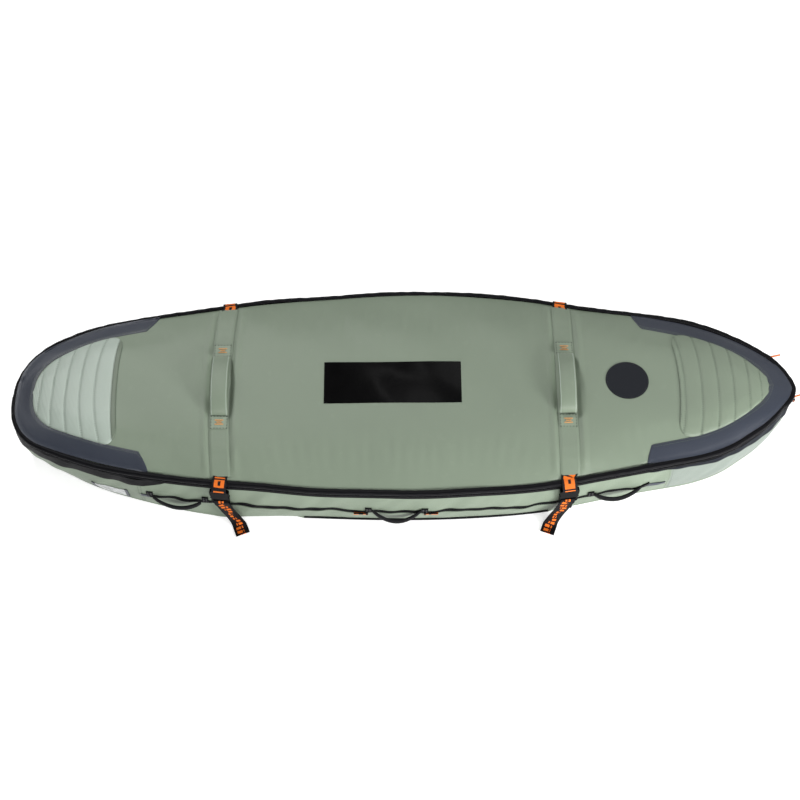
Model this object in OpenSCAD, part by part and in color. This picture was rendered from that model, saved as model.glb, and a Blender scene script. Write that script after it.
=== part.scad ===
// Surfboard travel bag, lying closed on its base.
// +X points to the nose, +Y to the fabric hinge, +Z up. The origin is on the floor.
// The plan outline is one chain of tangent arcs, so the zip sliders can run on it.

/* [Overall size] */
// Length from the tail to the nose
bag_l = 2088; // [1740:4:2506]
// Widest width across the rim
bag_w = 616; // [512:4:740]
// Height of the rim above the floor
rim_h = 170; // [140:1:204]
// Rise of the middle of the deck above the rim
deck_crown = 30; // [16:1:40]
// Distance from the tail to the widest place
tail_l = 1062; // [880:2:1280]

/* [Outline] */
// Radius of the nose tip, as a share of the largest that fits
nose_roundness = 0.322; // [0.24:0.002:0.5]
// Radius of the tail's end, as a share of the largest that fits
tail_roundness = 0.9; // [0.6:0.02:0.94]
// Where the nose's second and third curves start, as shares of the nose's length
nose_joins = [0.705, 0.935];
// Steepness of the nose at those places, against its width over its length
nose_steepness = [0.80, 2.66];
// Where the tail's second and third curves start, as shares of the tail's length
tail_joins = [0.577, 0.750];
// Steepness of the tail at those places, against its width over its length
tail_steepness = [0.513, 0.886];

/* [Panels] */
// Thickness of the padded base
base_t = 8; // [6:0.5:12]
// Thickness of the padded wall
wall_t = 5; // [4:0.5:6]
// Thickness of the padded deck
deck_t = 9; // [7:0.5:12]
// How far the wall's foot leans in along the sides
side_lean = 6; // [2:0.5:8]
// How far the wall's foot leans in at the nose and the tail
end_lean = 20; // [10:0.5:22]
// How far the soft wall bows out at mid height
wall_bow = 6; // [2:0.5:7]
// Distance from the widest line to the fabric hinge
hinge_in = 76; // [60:1:92]

/* [Rim] */
// Width of the edge binding, seen from above
binding_w = 14; // [10:0.5:18]
// Height of the edge binding
binding_h = 10; // [8:0.5:14]
// How far the wall and the zip stand inside the binding
rim_set = 5; // [4:0.5:6]
// Thickness of the zip tapes
tape_t = 1.5; // [1.2:0.1:1.8]
// Width of the upper zip tape
upper_tape_h = 8.2; // [7:0.1:10]
// Width of the lower zip tape
lower_tape_h = 11.6; // [10:0.1:14]
// Gap between the tapes, where the chain runs
chain_gap = 2.2; // [1.8:0.1:2.6]

/* [Guards and quilts] */
// Width of the guards on the deck's nose and tail
guard_w = 48; // [36:1:56]
// Thickness of a guard
guard_t = 1.2; // [0.8:0.1:2]
// Place of the tail guard's ends along the bag
tail_guard_end = -668; // [-700:2:-560]
// Place of the nose guard's ends along the bag
nose_guard_end = 630; // [560:2:700]
// Height of the guards on the side walls
side_guard_h = 22; // [14:1:30]
// Height that the quilted pads stand above the deck
quilt_t = 7; // [4:0.5:9]
// Place of the tail pad's inner edge
tail_quilt_end = -744; // [-800:2:-700]
// Place of the nose pad's inner edge
nose_quilt_end = 716; // [680:2:760]
// Spacing of the quilts' channels
channel_pitch = 38; // [30:1:50]

/* [Straps] */
// Place of the tail strap along the bag
tail_strap_x = -480; // [-540:5:-400]
// Place of the nose strap along the bag
nose_strap_x = 425; // [360:5:500]
// Width of the strap webbing
web_w = 38; // [30:1:40]
// Thickness of the strap webbing
web_t = 1.6; // [1.2:0.1:2]
// Width of the fabric tunnels over the straps
tunnel_w = 54; // [48:1:64]
// Height inside the tunnels
tunnel_h = 2.6; // [2.2:0.1:4]
// Thickness of the tunnels' fabric
tunnel_t = 1.2; // [0.8:0.1:1.6]

/* [Buckles] */
// Width of a buckle beside its webbing, on each side
buckle_side = 6; // [4:0.5:9]
// Thickness of a buckle
buckle_t = 11; // [9:0.5:14]
// Length of the socket
socket_l = 38; // [34:1:44]
// Length of the plug's ladder plate
ladder_l = 31; // [28:1:36]
// Clearance of the plug in the socket
plug_gap = 0.5; // [0.3:0.1:0.8]
// Distance that the plug pulls out
plug_travel = 28; // [24:1:32]

/* [Handles] */
// Length of a top handle between its anchors
top_handle_l = 200; // [160:2:240]
// Width of a top handle's pad
top_handle_w = 47; // [38:1:56]
// Thickness of a top handle's pad
top_handle_t = 8; // [6:0.5:12]
// Height of a top handle's arch
top_handle_rise = 24; // [18:1:34]
// Length of a side handle between its tabs
side_handle_l = 130; // [110:2:150]
// Drop of the outer side handles
side_handle_drop = 26; // [20:1:34]
// Drop of the middle side handle
mid_handle_drop = 44; // [30:1:46]
// Places of the side handles along the bag
side_handle_x = [-598, -22, 562];

/* [Zips] */
// Distance of the side pocket's zip below the rim's zip
pocket_zip_drop = 70; // [58:1:78]
// Length of a main zip slider
slider_l = 16; // [14:0.5:20]
// Height of a main zip slider
slider_h = 12; // [11:0.5:13]
// Clearance of a slider around the tapes
slider_gap = 0.7; // [0.6:0.1:0.9]
// Radius of a slider's pin
pin_r = 0.9; // [0.7:0.05:1.1]
// Running clearance of a pull on its pin
pin_gap = 0.06; // [0.03:0.01:0.1]

/* [Hidden] */
$fn = 32;

SAGE = [0.56, 0.63, 0.54];
PALE_SAGE = [0.64, 0.71, 0.63];
SLATE = [0.27, 0.29, 0.34];
BLACK = [0.08, 0.08, 0.09];
ORANGE = [0.93, 0.42, 0.16];
CLEAR = [0.82, 0.85, 0.86];
STEEL = [0.2, 0.2, 0.22];

half_w = bag_w / 2;
nose_l = bag_l - tail_l;
widest_x = tail_l - bag_l / 2;
hinge_y = half_w - hinge_in;
seam = 0.4;
lid_y = hinge_y - seam;
margin_y = hinge_y + seam;
stitch_gap = 0.8;

// Heights of the rim's layers, from the top down
binding_z = rim_h - binding_h;
upper_tape_z = binding_z - upper_tape_h;
chain_z = upper_tape_z - chain_gap / 2;
lower_tape_top = upper_tape_z - chain_gap;
lower_tape_z = lower_tape_top - lower_tape_h;
pocket_zip_z = lower_tape_z - pocket_zip_drop;
buckle_w = web_w + 2 * buckle_side;
sewn_lap = 5.5;
wall_top = lower_tape_z + sewn_lap;
deck_edge_z = rim_h - 1;

// ---- The outline: four tangent arcs from the widest place to each end ----
// An arc is [centre, radius, first heading, last heading]; x runs to the end, y across.
function on_arc(centre, r, h) = centre + r * [sin(h), cos(h)];
function end_arcs(w, l, roundness, joins, steepness) =
  let (h1 = atan(steepness[0] * w / l),
       h2 = atan(steepness[1] * w / l),
       r1 = joins[0] * l / sin(h1),
       r2 = (joins[1] - joins[0]) * l / (sin(h2) - sin(h1)),
       c1 = [0, w - r1],
       c2 = on_arc(c1, r1 - r2, h1),
       p2 = on_arc(c2, r2, h2),
       // The largest end circle is the one that the second curve's last tangent touches
       largest_r = (cos(h2) * p2[1] - sin(h2) * (l - p2[0])) / (1 - sin(h2)),
       tip_r = roundness * largest_r,
       tip = [l - tip_r, 0],
       d = p2 - tip,
       inward = -[sin(h2), cos(h2)],
       r3 = (tip_r * tip_r - d * d) / (2 * (inward * d + tip_r)),
       c3 = p2 + r3 * inward,
       h3 = atan2((tip - c3)[0], (tip - c3)[1]))
  [[c1, r1, 0, h1], [c2, r2, h1, h2], [c3, r3, h2, h3], [tip, tip_r, h3, 90]];

nose_arcs = end_arcs(half_w, nose_l, nose_roundness, nose_joins, nose_steepness);
tail_arcs = end_arcs(half_w, tail_l, tail_roundness, tail_joins, tail_steepness);

// The heading at which a chain of arcs passes a width or a distance
function clamp(v, low, high) = min(max(v, low), high);
function arc_at_y(arcs, y) = [for (a = arcs) if (on_arc(a[0], a[1], a[3])[1] <= y) a][0];
function heading_at_y(arcs, y) = let (a = arc_at_y(arcs, y)) acos(clamp((y - a[0][1]) / a[1], -1, 1));
function arc_at_x(arcs, x) = [for (a = arcs) if (on_arc(a[0], a[1], a[3])[0] >= x) a][0];
function heading_at_x(arcs, x) = let (a = arc_at_x(arcs, x)) asin(clamp((x - a[0][0]) / a[1], -1, 1));

// Stations [x, y, normal x, normal y] along a chain between two headings
step_turn = 5;
step_l = 62;
function arc_steps(r, turn) = max(1, ceil(turn / step_turn - 0.001), ceil(r * turn * PI / 180 / step_l));
function chain(arcs, from, to) = [for (a = arcs)
  let (h0 = max(a[2], from), h1 = min(a[3], to))
  if (h1 > h0 + 0.01)
    let (n = arc_steps(a[1], a[3] - a[2]),
         step = (a[3] - a[2]) / n,
         grid = [for (i = [1 : 1 : n - 1]) a[2] + i * step],
         inner = [for (h = grid) if (h > h0 + step / 4 && h < h1 - step / 4) h])
    for (h = concat(h0 <= from ? [h0] : [], inner, [h1]))
      let (p = on_arc(a[0], a[1], h))
      [p[0], p[1], sin(h), cos(h)]];
function reversed(v) = [for (i = [len(v) - 1 : -1 : 0]) v[i]];
function but_first(v) = [for (i = [1 : len(v) - 1]) v[i]];
function nose_side(side, from, to) = [for (s = chain(nose_arcs, from, to))
  [widest_x + s[0], side * s[1], s[2], side * s[3]]];
function tail_side(side, from, to) = [for (s = chain(tail_arcs, from, to))
  [widest_x - s[0], side * s[1], -s[2], side * s[3]]];
function tail_heading(x) = heading_at_x(tail_arcs, widest_x - x);
function nose_heading(x) = heading_at_x(nose_arcs, x - widest_x);

// Every path runs tail, near side, nose, far side
function near_path(x0, x1) =
  x1 <= widest_x ? reversed(tail_side(-1, tail_heading(x1), tail_heading(x0))) :
  x0 >= widest_x ? nose_side(-1, nose_heading(x0), nose_heading(x1)) :
  concat(reversed(tail_side(-1, 0, tail_heading(x0))), but_first(nose_side(-1, 0, nose_heading(x1))));
function far_path(h_tail, h_nose) =
  concat(reversed(nose_side(1, 0, h_nose)), but_first(tail_side(1, 0, h_tail)));
function tail_path(h_far, h_near) =
  concat(tail_side(1, h_far, 90), but_first(reversed(tail_side(-1, h_near, 90))));
function nose_path(h_near, h_far) =
  concat(nose_side(-1, h_near, 90), but_first(reversed(nose_side(1, h_far, 90))));

tail_hinge_h = heading_at_y(tail_arcs, hinge_y);
nose_hinge_h = heading_at_y(nose_arcs, hinge_y);
zip_path = concat(tail_path(tail_hinge_h, 0), but_first(nose_path(0, nose_hinge_h)));
rim_path = concat(tail_path(0, 0), but_first(nose_path(0, 0)));

// Half widths at a place along the bag, on the rim or inside it
function inside_table(inset) = [for (s = concat(reversed(tail_side(1, 0, 90)), nose_side(1, 0, 90)))
  if (s[1] - inset * s[3] > 0) [s[0] - inset * s[2], s[1] - inset * s[3]]];
rim_table = inside_table(0);
deck_table = inside_table(binding_w);
function rim_y(x) = lookup(x, rim_table);
function side_turn(x) = x < widest_x ? -tail_heading(x) : nose_heading(x);

// ---- Surfaces ----
// The deck swells from its edge to its crown
deck_flatness = 3.2;
swell_reach = 0.8;
deck_ends = [deck_table[0][0], deck_table[len(deck_table) - 1][0]];
function deck_swell(x) =
  let (in = min(lookup(x, deck_table), x - deck_ends[0], deck_ends[1] - x),
       f = clamp(in / (swell_reach * half_w), 0, 1))
  1 - (1 - f) * (1 - f);
function deck_z(x, y) =
  deck_edge_z + deck_crown * deck_swell(x)
  * (1 - pow(clamp(abs(y) / max(lookup(x, deck_table), 1), 0, 1), deck_flatness));
// The wall leans in at its foot and bows out at mid height; this is its outer face
function foot_lean(s) = side_lean + (end_lean - side_lean) * pow(abs(s[2]), 1.5);
function wall_n(s, z) =
  let (u = clamp((z - base_t) / (lower_tape_z - base_t), 0, 1))
  -rim_set - foot_lean(s) * pow(1 - u, 2) + wall_bow * 4 * u * (1 - u);
function place(s, n, z) = [s[0] + n * s[2], s[1] + n * s[3], z];
function steps(from, to, n) = [for (i = [0 : n]) from + (to - from) * i / n];

// ---- Solids from rings of points; a ring runs along one face and back along the other ----
module loft(rings, closed = false) {
  n = len(rings[0]);
  m = len(rings);
  points = [for (r = rings) each r];
  sides = [for (i = [0 : (closed ? m - 1 : m - 2)], j = [0 : n - 1])
    let (a = i * n + j,
         b = i * n + (j + 1) % n,
         c = ((i + 1) % m) * n + j,
         d = ((i + 1) % m) * n + (j + 1) % n)
    each [[a, b, d], [a, d, c]]];
  end = (m - 1) * n;
  caps = closed ? [] : [for (j = [0 : n / 2 - 2])
    let (a = j, b = j + 1, c = n - 2 - j, d = n - 1 - j)
    each [[d, c, b], [d, b, a], [end + a, end + b, end + c], [end + a, end + c, end + d]]];
  polyhedron(points, concat(sides, caps), convexity = 10);
}

// A sheet on the wall's outer face, between two heights
sheet_gap = 0.5;
module wall_sheet(path, z0, z1, t, rows) {
  loft([for (s = path) concat(
    [for (z = steps(z0, z1, rows)) place(s, wall_n(s, z) + sheet_gap + t, z)],
    [for (z = steps(z1, z0, rows)) place(s, wall_n(s, z) + sheet_gap, z)])]);
}

// A wall panel
wall_rows = 4;
module wall_panel(path, top) {
  loft([for (s = path) concat(
    [for (z = steps(base_t, lower_tape_z, wall_rows)) place(s, wall_n(s, z), z)],
    [place(s, -rim_set, top), place(s, -rim_set - wall_t, top)],
    [for (z = steps(lower_tape_z, base_t, wall_rows)) place(s, wall_n(s, z) - wall_t, z)])]);
}

// A flat strip standing on the rim's line
module tape(path, n0, n1, z0, z1) {
  loft([for (s = path) [place(s, n1, z0), place(s, n1, z1), place(s, n0, z1), place(s, n0, z0)]]);
}

// The binding: a rounded band, flat inside, kept to one side of the hinge
binding_round = 3;
function binding_ring(s, low_n, high_n) =
  let (r = min(binding_round, (high_n - low_n) / 2), top = rim_h, foot = binding_z)
  [place(s, high_n - r, foot), place(s, high_n, foot + r), place(s, high_n, top - r),
   place(s, high_n - r, top), place(s, low_n, top), place(s, low_n, foot)];
function lid_limit(s) = s[3] > 0.01 ? (lid_y - s[1]) / s[3] : 0;
function margin_limit(s) = s[3] > 0 ? (margin_y - s[1]) / s[3] : 0;

// A slab under the deck's surface, between two lines along the bag
module deck_slab(stations, rows, t, lift = 0) {
  loft([for (q = stations) concat(
    [for (y = steps(q[1], q[2], rows)) [q[0], y, deck_z(q[0], y) + lift]],
    [for (y = steps(q[2], q[1], rows)) [q[0], y, deck_z(q[0], y) + lift - t]])]);
}

// ---- Bottom and walls ----
function foot_point(s) = place(s, wall_n(s, base_t), 0);
module base_panel() {
  color(SAGE)
    linear_extrude(height = base_t)
      polygon([for (s = rim_path) [foot_point(s)[0], foot_point(s)[1]]]);
}

foot_clear = 1;
foot_binding_w = 6;
foot_binding_h = 8;
module base_binding() {
  color(BLACK)
    loft([for (s = rim_path)
      let (n = wall_n(s, base_t) + sheet_gap, w = foot_binding_w, h = foot_binding_h)
      [place(s, n, foot_clear), place(s, n + w * 0.7, foot_clear), place(s, n + w, foot_clear + h / 2),
       place(s, n + w * 0.7, foot_clear + h), place(s, n + 1, foot_clear + h), place(s, n, base_t)]],
      closed = true);
}

tail_seam_x = -697;
nose_seam_x = 700;
module tail_wall() {
  color(SAGE) wall_panel(tail_path(tail_hinge_h, tail_heading(tail_seam_x)), wall_top);
}
module near_wall() {
  color(SAGE) wall_panel(near_path(tail_seam_x, nose_seam_x), wall_top);
}
module nose_wall() {
  color(SAGE) wall_panel(nose_path(nose_heading(nose_seam_x), nose_hinge_h), wall_top);
}
module far_wall() {
  color(SAGE) wall_panel(far_path(tail_hinge_h, nose_hinge_h), binding_z);
}

// ---- Rim ----
tape_inner_n = -rim_set + sheet_gap;
tape_n = tape_inner_n + tape_t;
module lower_zip_tape() {
  color(BLACK) tape(zip_path, tape_inner_n, tape_n, lower_tape_z, lower_tape_top);
}
module upper_zip_tape() {
  color(BLACK) tape(zip_path, tape_inner_n, tape_n, upper_tape_z, binding_z);
}
thin_edge = 2;
module deck_binding() {
  color(BLACK)
    loft([for (s = rim_path) if (s[3] < 0 || lid_limit(s) > thin_edge - binding_w)
      binding_ring(s, -binding_w, s[3] < 0 ? 0 : min(0, lid_limit(s)))]);
}
module margin_binding() {
  color(BLACK)
    loft([for (s = far_path(90, 90)) if (s[3] > 0 && margin_limit(s) < -thin_edge)
      binding_ring(s, max(-binding_w, margin_limit(s)), 0)]);
}

side_guard_t = 1.2;
tail_side_guard_x = -628;
nose_side_guard_x = 640;
module side_guard(path) {
  wall_sheet(path, lower_tape_z - side_guard_h, lower_tape_z - stitch_gap, side_guard_t, 2);
}
module tail_side_guard() {
  color(SLATE) side_guard(tail_path(tail_hinge_h, tail_heading(tail_side_guard_x)));
}
module nose_side_guard() {
  color(SLATE) side_guard(nose_path(nose_heading(nose_side_guard_x), nose_hinge_h));
}

// ---- Deck ----
deck_stations = [for (s = concat(reversed(tail_side(1, 0, 90)), but_first(nose_side(1, 0, 90))))
  let (x = s[0] - binding_w * s[2], y = s[1] - binding_w * s[3])
  if (y > 5) [x, -y, y]];
deck_rows = 10;
module deck_panel() {
  color(SAGE)
    deck_slab([for (q = deck_stations) [q[0], q[1], min(q[2], lid_y)]], deck_rows, deck_t);
}
module hinge_margin() {
  color(SAGE)
    deck_slab([for (q = deck_stations) if (q[2] > margin_y + 1) [q[0], margin_y, q[2]]], 3, deck_t);
}

// A guard is a band inside the binding; where the nose is narrow its inner edge meets in a point
guard_inset = binding_w + sheet_gap + guard_w;
nose_guard_r = nose_arcs[2][1] - guard_inset;
nose_guard_x = nose_arcs[2][0][0] + sqrt(pow(nose_guard_r, 2) - pow(nose_arcs[2][0][1], 2));
nose_guard_point = [widest_x + nose_guard_x, 0];
function inner_point(s, n) =
  let (p = place(s, n, 0))
  s[0] < 0 || p[1] * s[1] > 0 ? [p[0], p[1]] : nose_guard_point;
guard_chamfer = 30;
guard_end_share = 0.1;
guard_rows = 4;
guard_gap = 1.2;
module guard(path, end_x) {
  loft([for (s = reversed(path))
    let (w = guard_w * clamp(guard_end_share + abs(s[0] - end_x) / guard_chamfer, guard_end_share, 1),
         outer = place(s, min(-binding_w - sheet_gap, lid_limit(s)), 0),
         inner = inner_point(s, -binding_w - sheet_gap - w))
    concat(
      [for (f = steps(0, 1, guard_rows)) deck_point(outer, inner, f * f, guard_gap)],
      [for (f = steps(1, 0, guard_rows)) deck_point(outer, inner, f * f, guard_t + guard_gap)])]);
}
function deck_point(a, b, f, lift) =
  let (x = a[0] + (b[0] - a[0]) * f, y = a[1] + (b[1] - a[1]) * f)
  [x, y, deck_z(x, y) + lift];
module tail_guard() {
  h = tail_heading(tail_guard_end);
  color(SLATE) guard(tail_path(h, h), tail_guard_end);
}
module nose_guard() {
  h = nose_heading(nose_guard_end);
  color(SLATE) guard(nose_path(h, h), nose_guard_end);
}

// A quilted pad fills the guard's inner edge, with sewn channels across it
quilt_inset = binding_w + sheet_gap + guard_w + stitch_gap;
quilt_table = inside_table(quilt_inset);
quilt_rows = 8;
edge_h = 1.2;
function channel(x, from) = abs(sin(180 * (x - from) / channel_pitch));
function quilt_h(x, from, f) =
  edge_h + (quilt_t - edge_h) * pow(channel(x, from), 0.7) * sqrt(1 - pow(abs(f), 4));
module quilt(from, to) {
  n = ceil(abs(to - from) / channel_pitch * 4);
  loft([for (x = steps(from, to, n))
    let (w = lookup(x, quilt_table) - 2 * stitch_gap)
    concat(
      [for (f = steps(-1, 1, quilt_rows)) [x, f * w, deck_z(x, f * w) + stitch_gap + quilt_h(x, from, f)]],
      [for (f = steps(1, -1, quilt_rows)) [x, f * w, deck_z(x, f * w) + stitch_gap]])]);
}
pad_end_w = 14;
function place_of_width(table, w, nose) =
  let (hits = [for (q = table) if ((nose ? q[0] > 0 : q[0] < 0) && q[1] >= w) q[0]])
  nose ? max(hits) : min(hits);
module tail_quilt() {
  color(PALE_SAGE)
    quilt(place_of_width(quilt_table, pad_end_w, false) + 2 * stitch_gap, tail_quilt_end);
}
module nose_quilt() {
  color(PALE_SAGE)
    quilt(nose_quilt_end, place_of_width(quilt_table, pad_end_w, true) - 2 * stitch_gap);
}

print_l = 363;
print_w = 124;
print_x = -30;
print_cells = [6, 4];
patch_t = 0.8;
module print_panel() {
  color(BLACK)
    deck_slab([for (dx = steps(-print_l / 2, print_l / 2, print_cells[0]))
      [print_x + dx, -print_w / 2, print_w / 2]], print_cells[1], patch_t, stitch_gap + patch_t);
}
round_patch_r = 57;
round_patch_at = [590, 6];
patch_step = 360 / 30;
module round_patch() {
  color(BLACK)
    loft([for (r = [1, 0])
      [for (a = [0 : patch_step : 360 - patch_step])
        let (x = round_patch_at[0] + round_patch_r * cos(a), y = round_patch_at[1] + round_patch_r * sin(a))
        [x, y, deck_z(x, y) + stitch_gap + r * patch_t]]]);
}

// ---- Straps and their tunnels ----
tunnel_rim_gap = 3;
tunnel_rings = 14;
margin_rings = 3;
channel_gap = 2;
channel_wall = 1;
function tunnel_ring(x, y) =
  let (o = tunnel_w / 2, i = web_w / 2 + channel_gap, c = i + channel_wall, h = tunnel_h, t = tunnel_t,
       profile = [[-o, t], [-c, h + t], [c, h + t], [o, t],
                  [o, 0], [i, 0], [i, h], [-i, h], [-i, 0], [-o, 0]])
  [for (q = profile) [x + q[0], y, deck_z(x + q[0], y) + stitch_gap + q[1]]];
module tunnel(x, y0, y1, rings) {
  loft([for (y = steps(y0, y1, rings)) tunnel_ring(x, y)]);
}
function tunnel_end(x) =
  min(lookup(x - tunnel_w / 2, deck_table), lookup(x + tunnel_w / 2, deck_table)) - tunnel_rim_gap;
module strap_tunnel(x) {
  color(SAGE) tunnel(x, lid_y, -tunnel_end(x), tunnel_rings);
}
module strap_tunnel_tail() { strap_tunnel(tail_strap_x); }
module strap_tunnel_nose() { strap_tunnel(nose_strap_x); }
module margin_tunnel(x) {
  color(SAGE) tunnel(x, tunnel_end(x), margin_y, margin_rings);
}
module margin_tunnel_tail() { margin_tunnel(tail_strap_x); }
module margin_tunnel_nose() { margin_tunnel(nose_strap_x); }

// A webbing ring: centre of its lower face, direction across it, direction of its thickness
function web_ring(p, across, up) =
  [p - across * web_w / 2, p + across * web_w / 2, p + across * web_w / 2 + up * web_t,
   p - across * web_w / 2 + up * web_t];
web_lift = stitch_gap + 0.3;
deck_web_rings = 12;
deck_web_margin = 6;
// A webbing ring on the deck, which follows it at both edges
function deck_web(x, y, way) =
  let (x0 = x - way * web_w / 2,
       x1 = x + way * web_w / 2,
       z0 = deck_z(x0, y) + web_lift,
       z1 = deck_z(x1, y) + web_lift)
  [[x0, y, z0], [x1, y, z1], [x1, y, z1 + web_t], [x0, y, z0 + web_t]];
rim_over = 1;
// How far in from the rim's edge a web starts and ends its way over the binding
over_start = binding_w - 2;
over_end = 2;
function tangent(x) = [cos(side_turn(x)), sin(side_turn(x)), 0];
function outward(x) = [sin(side_turn(x)), -cos(side_turn(x)), 0];
function far_side(v) = [v[0], -v[1], v[2]];
function at_rim(x, n, z) = [x, -rim_y(x), 0] + outward(x) * n + [0, 0, z];

web_low_z = 12;

// Where the buckle hangs: its back, its top and its foot, out from the rim
buckle_n = 3;
socket_top = rim_h - 9;
socket_z = socket_top - socket_l;
web_hang_n = buckle_n + buckle_t / 2 - web_t / 2;
module deck_strap(x) {
  up = [0, 0, 1];
  out = outward(x);
  across = tangent(x);
  last_y = deck_web_margin - lookup(x, deck_table);
  color(ORANGE)
    loft(reversed(concat(
      [for (y = steps(lid_y, last_y, deck_web_rings)) deck_web(x, y, 1)],
      [web_ring(at_rim(x, -over_start, rim_h + rim_over), across, up),
       web_ring(at_rim(x, -over_end, rim_h + rim_over), across, up),
       web_ring(at_rim(x, 1.5, rim_h - 1), across, (up + out) / sqrt(2)),
       web_ring(at_rim(x, web_hang_n, rim_h - 5), across, out),
       web_ring(at_rim(x, web_hang_n, socket_top + 0.4), across, out)])));
}
module deck_strap_tail() { deck_strap(tail_strap_x); }
module deck_strap_nose() { deck_strap(nose_strap_x); }

// The far strap climbs from the foot of the far wall, over the binding, to the hinge
far_web_gap = 1;
far_web_rings = 4;
module far_strap(x) {
  up = [0, 0, 1];
  out = far_side(outward(x));
  across = far_side(tangent(x));
  s = [x, rim_y(x), out[0], out[1]];
  first_y = lookup(x, deck_table) - deck_web_margin;
  color(BLACK)
    loft(reversed(concat(
      [for (y = steps(margin_y, first_y, margin_rings)) deck_web(x, y, -1)],
      [web_ring(place(s, -over_start, rim_h + rim_over), -across, up),
       web_ring(place(s, -over_end, rim_h + rim_over), -across, up),
       web_ring(place(s, far_web_gap, rim_h - 1), -across, (up + out) / sqrt(2)),
       web_ring(place(s, far_web_gap, binding_z - 2), -across, out)],
      [for (z = steps(wall_top, web_low_z, far_web_rings))
        web_ring(place(s, wall_n(s, z) + far_web_gap, z), -across, out)])));
}
module far_strap_tail() { far_strap(tail_strap_x); }
module far_strap_nose() { far_strap(nose_strap_x); }

// ---- Buckles, drawn in the frame of the near wall: x along it, y out from the rim, z up ----
module on_near_wall(x) {
  translate([x, -rim_y(x), 0]) rotate([0, 0, 180 + side_turn(x)]) children();
}
module plate(n0, n1) {
  translate([0, n1, 0]) rotate([90, 0, 0]) linear_extrude(height = n1 - n0) children();
}
module bar(w, r, n, z) {
  translate([0, n, z]) rotate([0, 90, 0]) cylinder(r = r, h = w, center = true);
}

buckle_mid = buckle_n + buckle_t / 2;
socket_wall = 2;
cavity_w = buckle_w - 11;
cavity_top = 7;
window_l = 11;
window_z = socket_z + 5;
socket_waist = 2;
socket_shoulder = 5;
cut = 2;
module buckle_socket(x) {
  w = buckle_w / 2;
  color(BLACK) on_near_wall(x) difference() {
    plate(buckle_n, buckle_n + buckle_t) polygon([
      [cut - w, socket_z], [w - cut, socket_z], [w, socket_z + cut], [w, window_z],
      [w - socket_waist, window_z + window_l / 2], [w, window_z + window_l],
      [w, socket_top - socket_shoulder], [w - socket_shoulder, socket_top],
      [socket_shoulder - w, socket_top], [-w, socket_top - socket_shoulder],
      [-w, window_z + window_l], [socket_waist - w, window_z + window_l / 2],
      [-w, window_z], [-w, socket_z + cut]]);
    // The cavity that the plug enters from below
    translate([-cavity_w / 2, buckle_n + socket_wall, socket_z - 1])
      cube([cavity_w, buckle_t - 2 * socket_wall, socket_l - cavity_top + 1]);
    // The side windows over the plug's arms
    translate([-w - 1, buckle_n + socket_wall, window_z])
      cube([buckle_w + 2, buckle_t - 2 * socket_wall, window_l]);
    // The slot behind the bar that the strap is sewn round
    translate([-web_w / 2 - 1, buckle_n - 1, socket_top - cavity_top + 1])
      cube([web_w + 2, buckle_t + 2, cavity_top - 4]);
  }
}
module buckle_socket_tail() { buckle_socket(tail_strap_x); }
module buckle_socket_nose() { buckle_socket(nose_strap_x); }

plug_t = buckle_t - 2 * socket_wall - 2 * plug_gap;
plug_n = buckle_mid - plug_t / 2;
ladder_top = socket_z - plug_gap;
ladder_z = ladder_top - ladder_l;
prong_l = socket_l - cavity_top - 4;
arm_out = cavity_w / 2 - plug_gap;
slot_h = 4.6;
rung_h = 4;
rung_z = ladder_z + 8;
ladder_cut = 3;
bar_bulge = 0.8;
arm_flex = 3;
arm_w = 6;
guide_w = 6;
module buckle_plug(x) {
  w = buckle_w / 2 - 1;
  color(BLACK) on_near_wall(x) difference() {
    union() {
      plate(plug_n, plug_n + plug_t) polygon([
        [ladder_cut - w, ladder_z], [w - ladder_cut, ladder_z], [w, ladder_z + ladder_cut],
        [w, ladder_top - ladder_cut], [w - ladder_cut, ladder_top],
        // The right arm
        [arm_out - cut, ladder_top], [arm_out - arm_flex, window_z - cut], [arm_out, window_z + cut / 2],
        [arm_out, window_z + window_l - cut], [arm_out - arm_flex, window_z + window_l + cut / 2],
        [arm_out - arm_w, window_z + window_l - cut / 2], [arm_out - arm_w - cut / 2, window_z],
        [arm_out - arm_w - cut, ladder_top],
        // The middle guide
        [guide_w / 2, ladder_top], [0.4 * guide_w, ladder_top + prong_l],
        [-0.4 * guide_w, ladder_top + prong_l], [-guide_w / 2, ladder_top],
        // The left arm
        [arm_w + cut - arm_out, ladder_top], [arm_w + cut / 2 - arm_out, window_z],
        [arm_w - arm_out, window_z + window_l - cut / 2],
        [arm_flex - arm_out, window_z + window_l + cut / 2], [-arm_out, window_z + window_l - cut],
        [-arm_out, window_z + cut / 2], [arm_flex - arm_out, window_z - cut], [cut - arm_out, ladder_top],
        [ladder_cut - w, ladder_top], [-w, ladder_top - ladder_cut], [-w, ladder_z + ladder_cut]]);
      bar(2 * (w - cut), plug_t / 2 + bar_bulge, buckle_mid, ladder_z + plug_t / 2 + bar_bulge + 0.6);
    }
    for (i = [0 : 1])
      translate([-web_w / 2 - 1, plug_n - 2, rung_z + i * (slot_h + rung_h)])
        cube([web_w + 2, plug_t + 4, slot_h]);
  }
}
module buckle_plug_tail() { buckle_plug(tail_strap_x); }
module buckle_plug_nose() { buckle_plug(nose_strap_x); }

// The lower strap climbs from the foot of the near wall to the back of the plug
strap_gap = 2.2;
lower_lean = 0.06;
lower_start = 3;
module lower_strap(x) {
  out = outward(x);
  across = tangent(x);
  s = [x, -rim_y(x), out[0], out[1]];
  back_n = plug_n - 1.5 - web_t;
  top = rung_z + 2 * slot_h + rung_h;
  color(BLACK)
    loft([for (z = steps(web_low_z, top, 5))
      web_ring(place(s, max(wall_n(s, z) + strap_gap, min(back_n, lower_lean * z - lower_start)), z),
        across, out)]);
}
module lower_strap_tail() { lower_strap(tail_strap_x); }
module lower_strap_nose() { lower_strap(nose_strap_x); }

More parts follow.
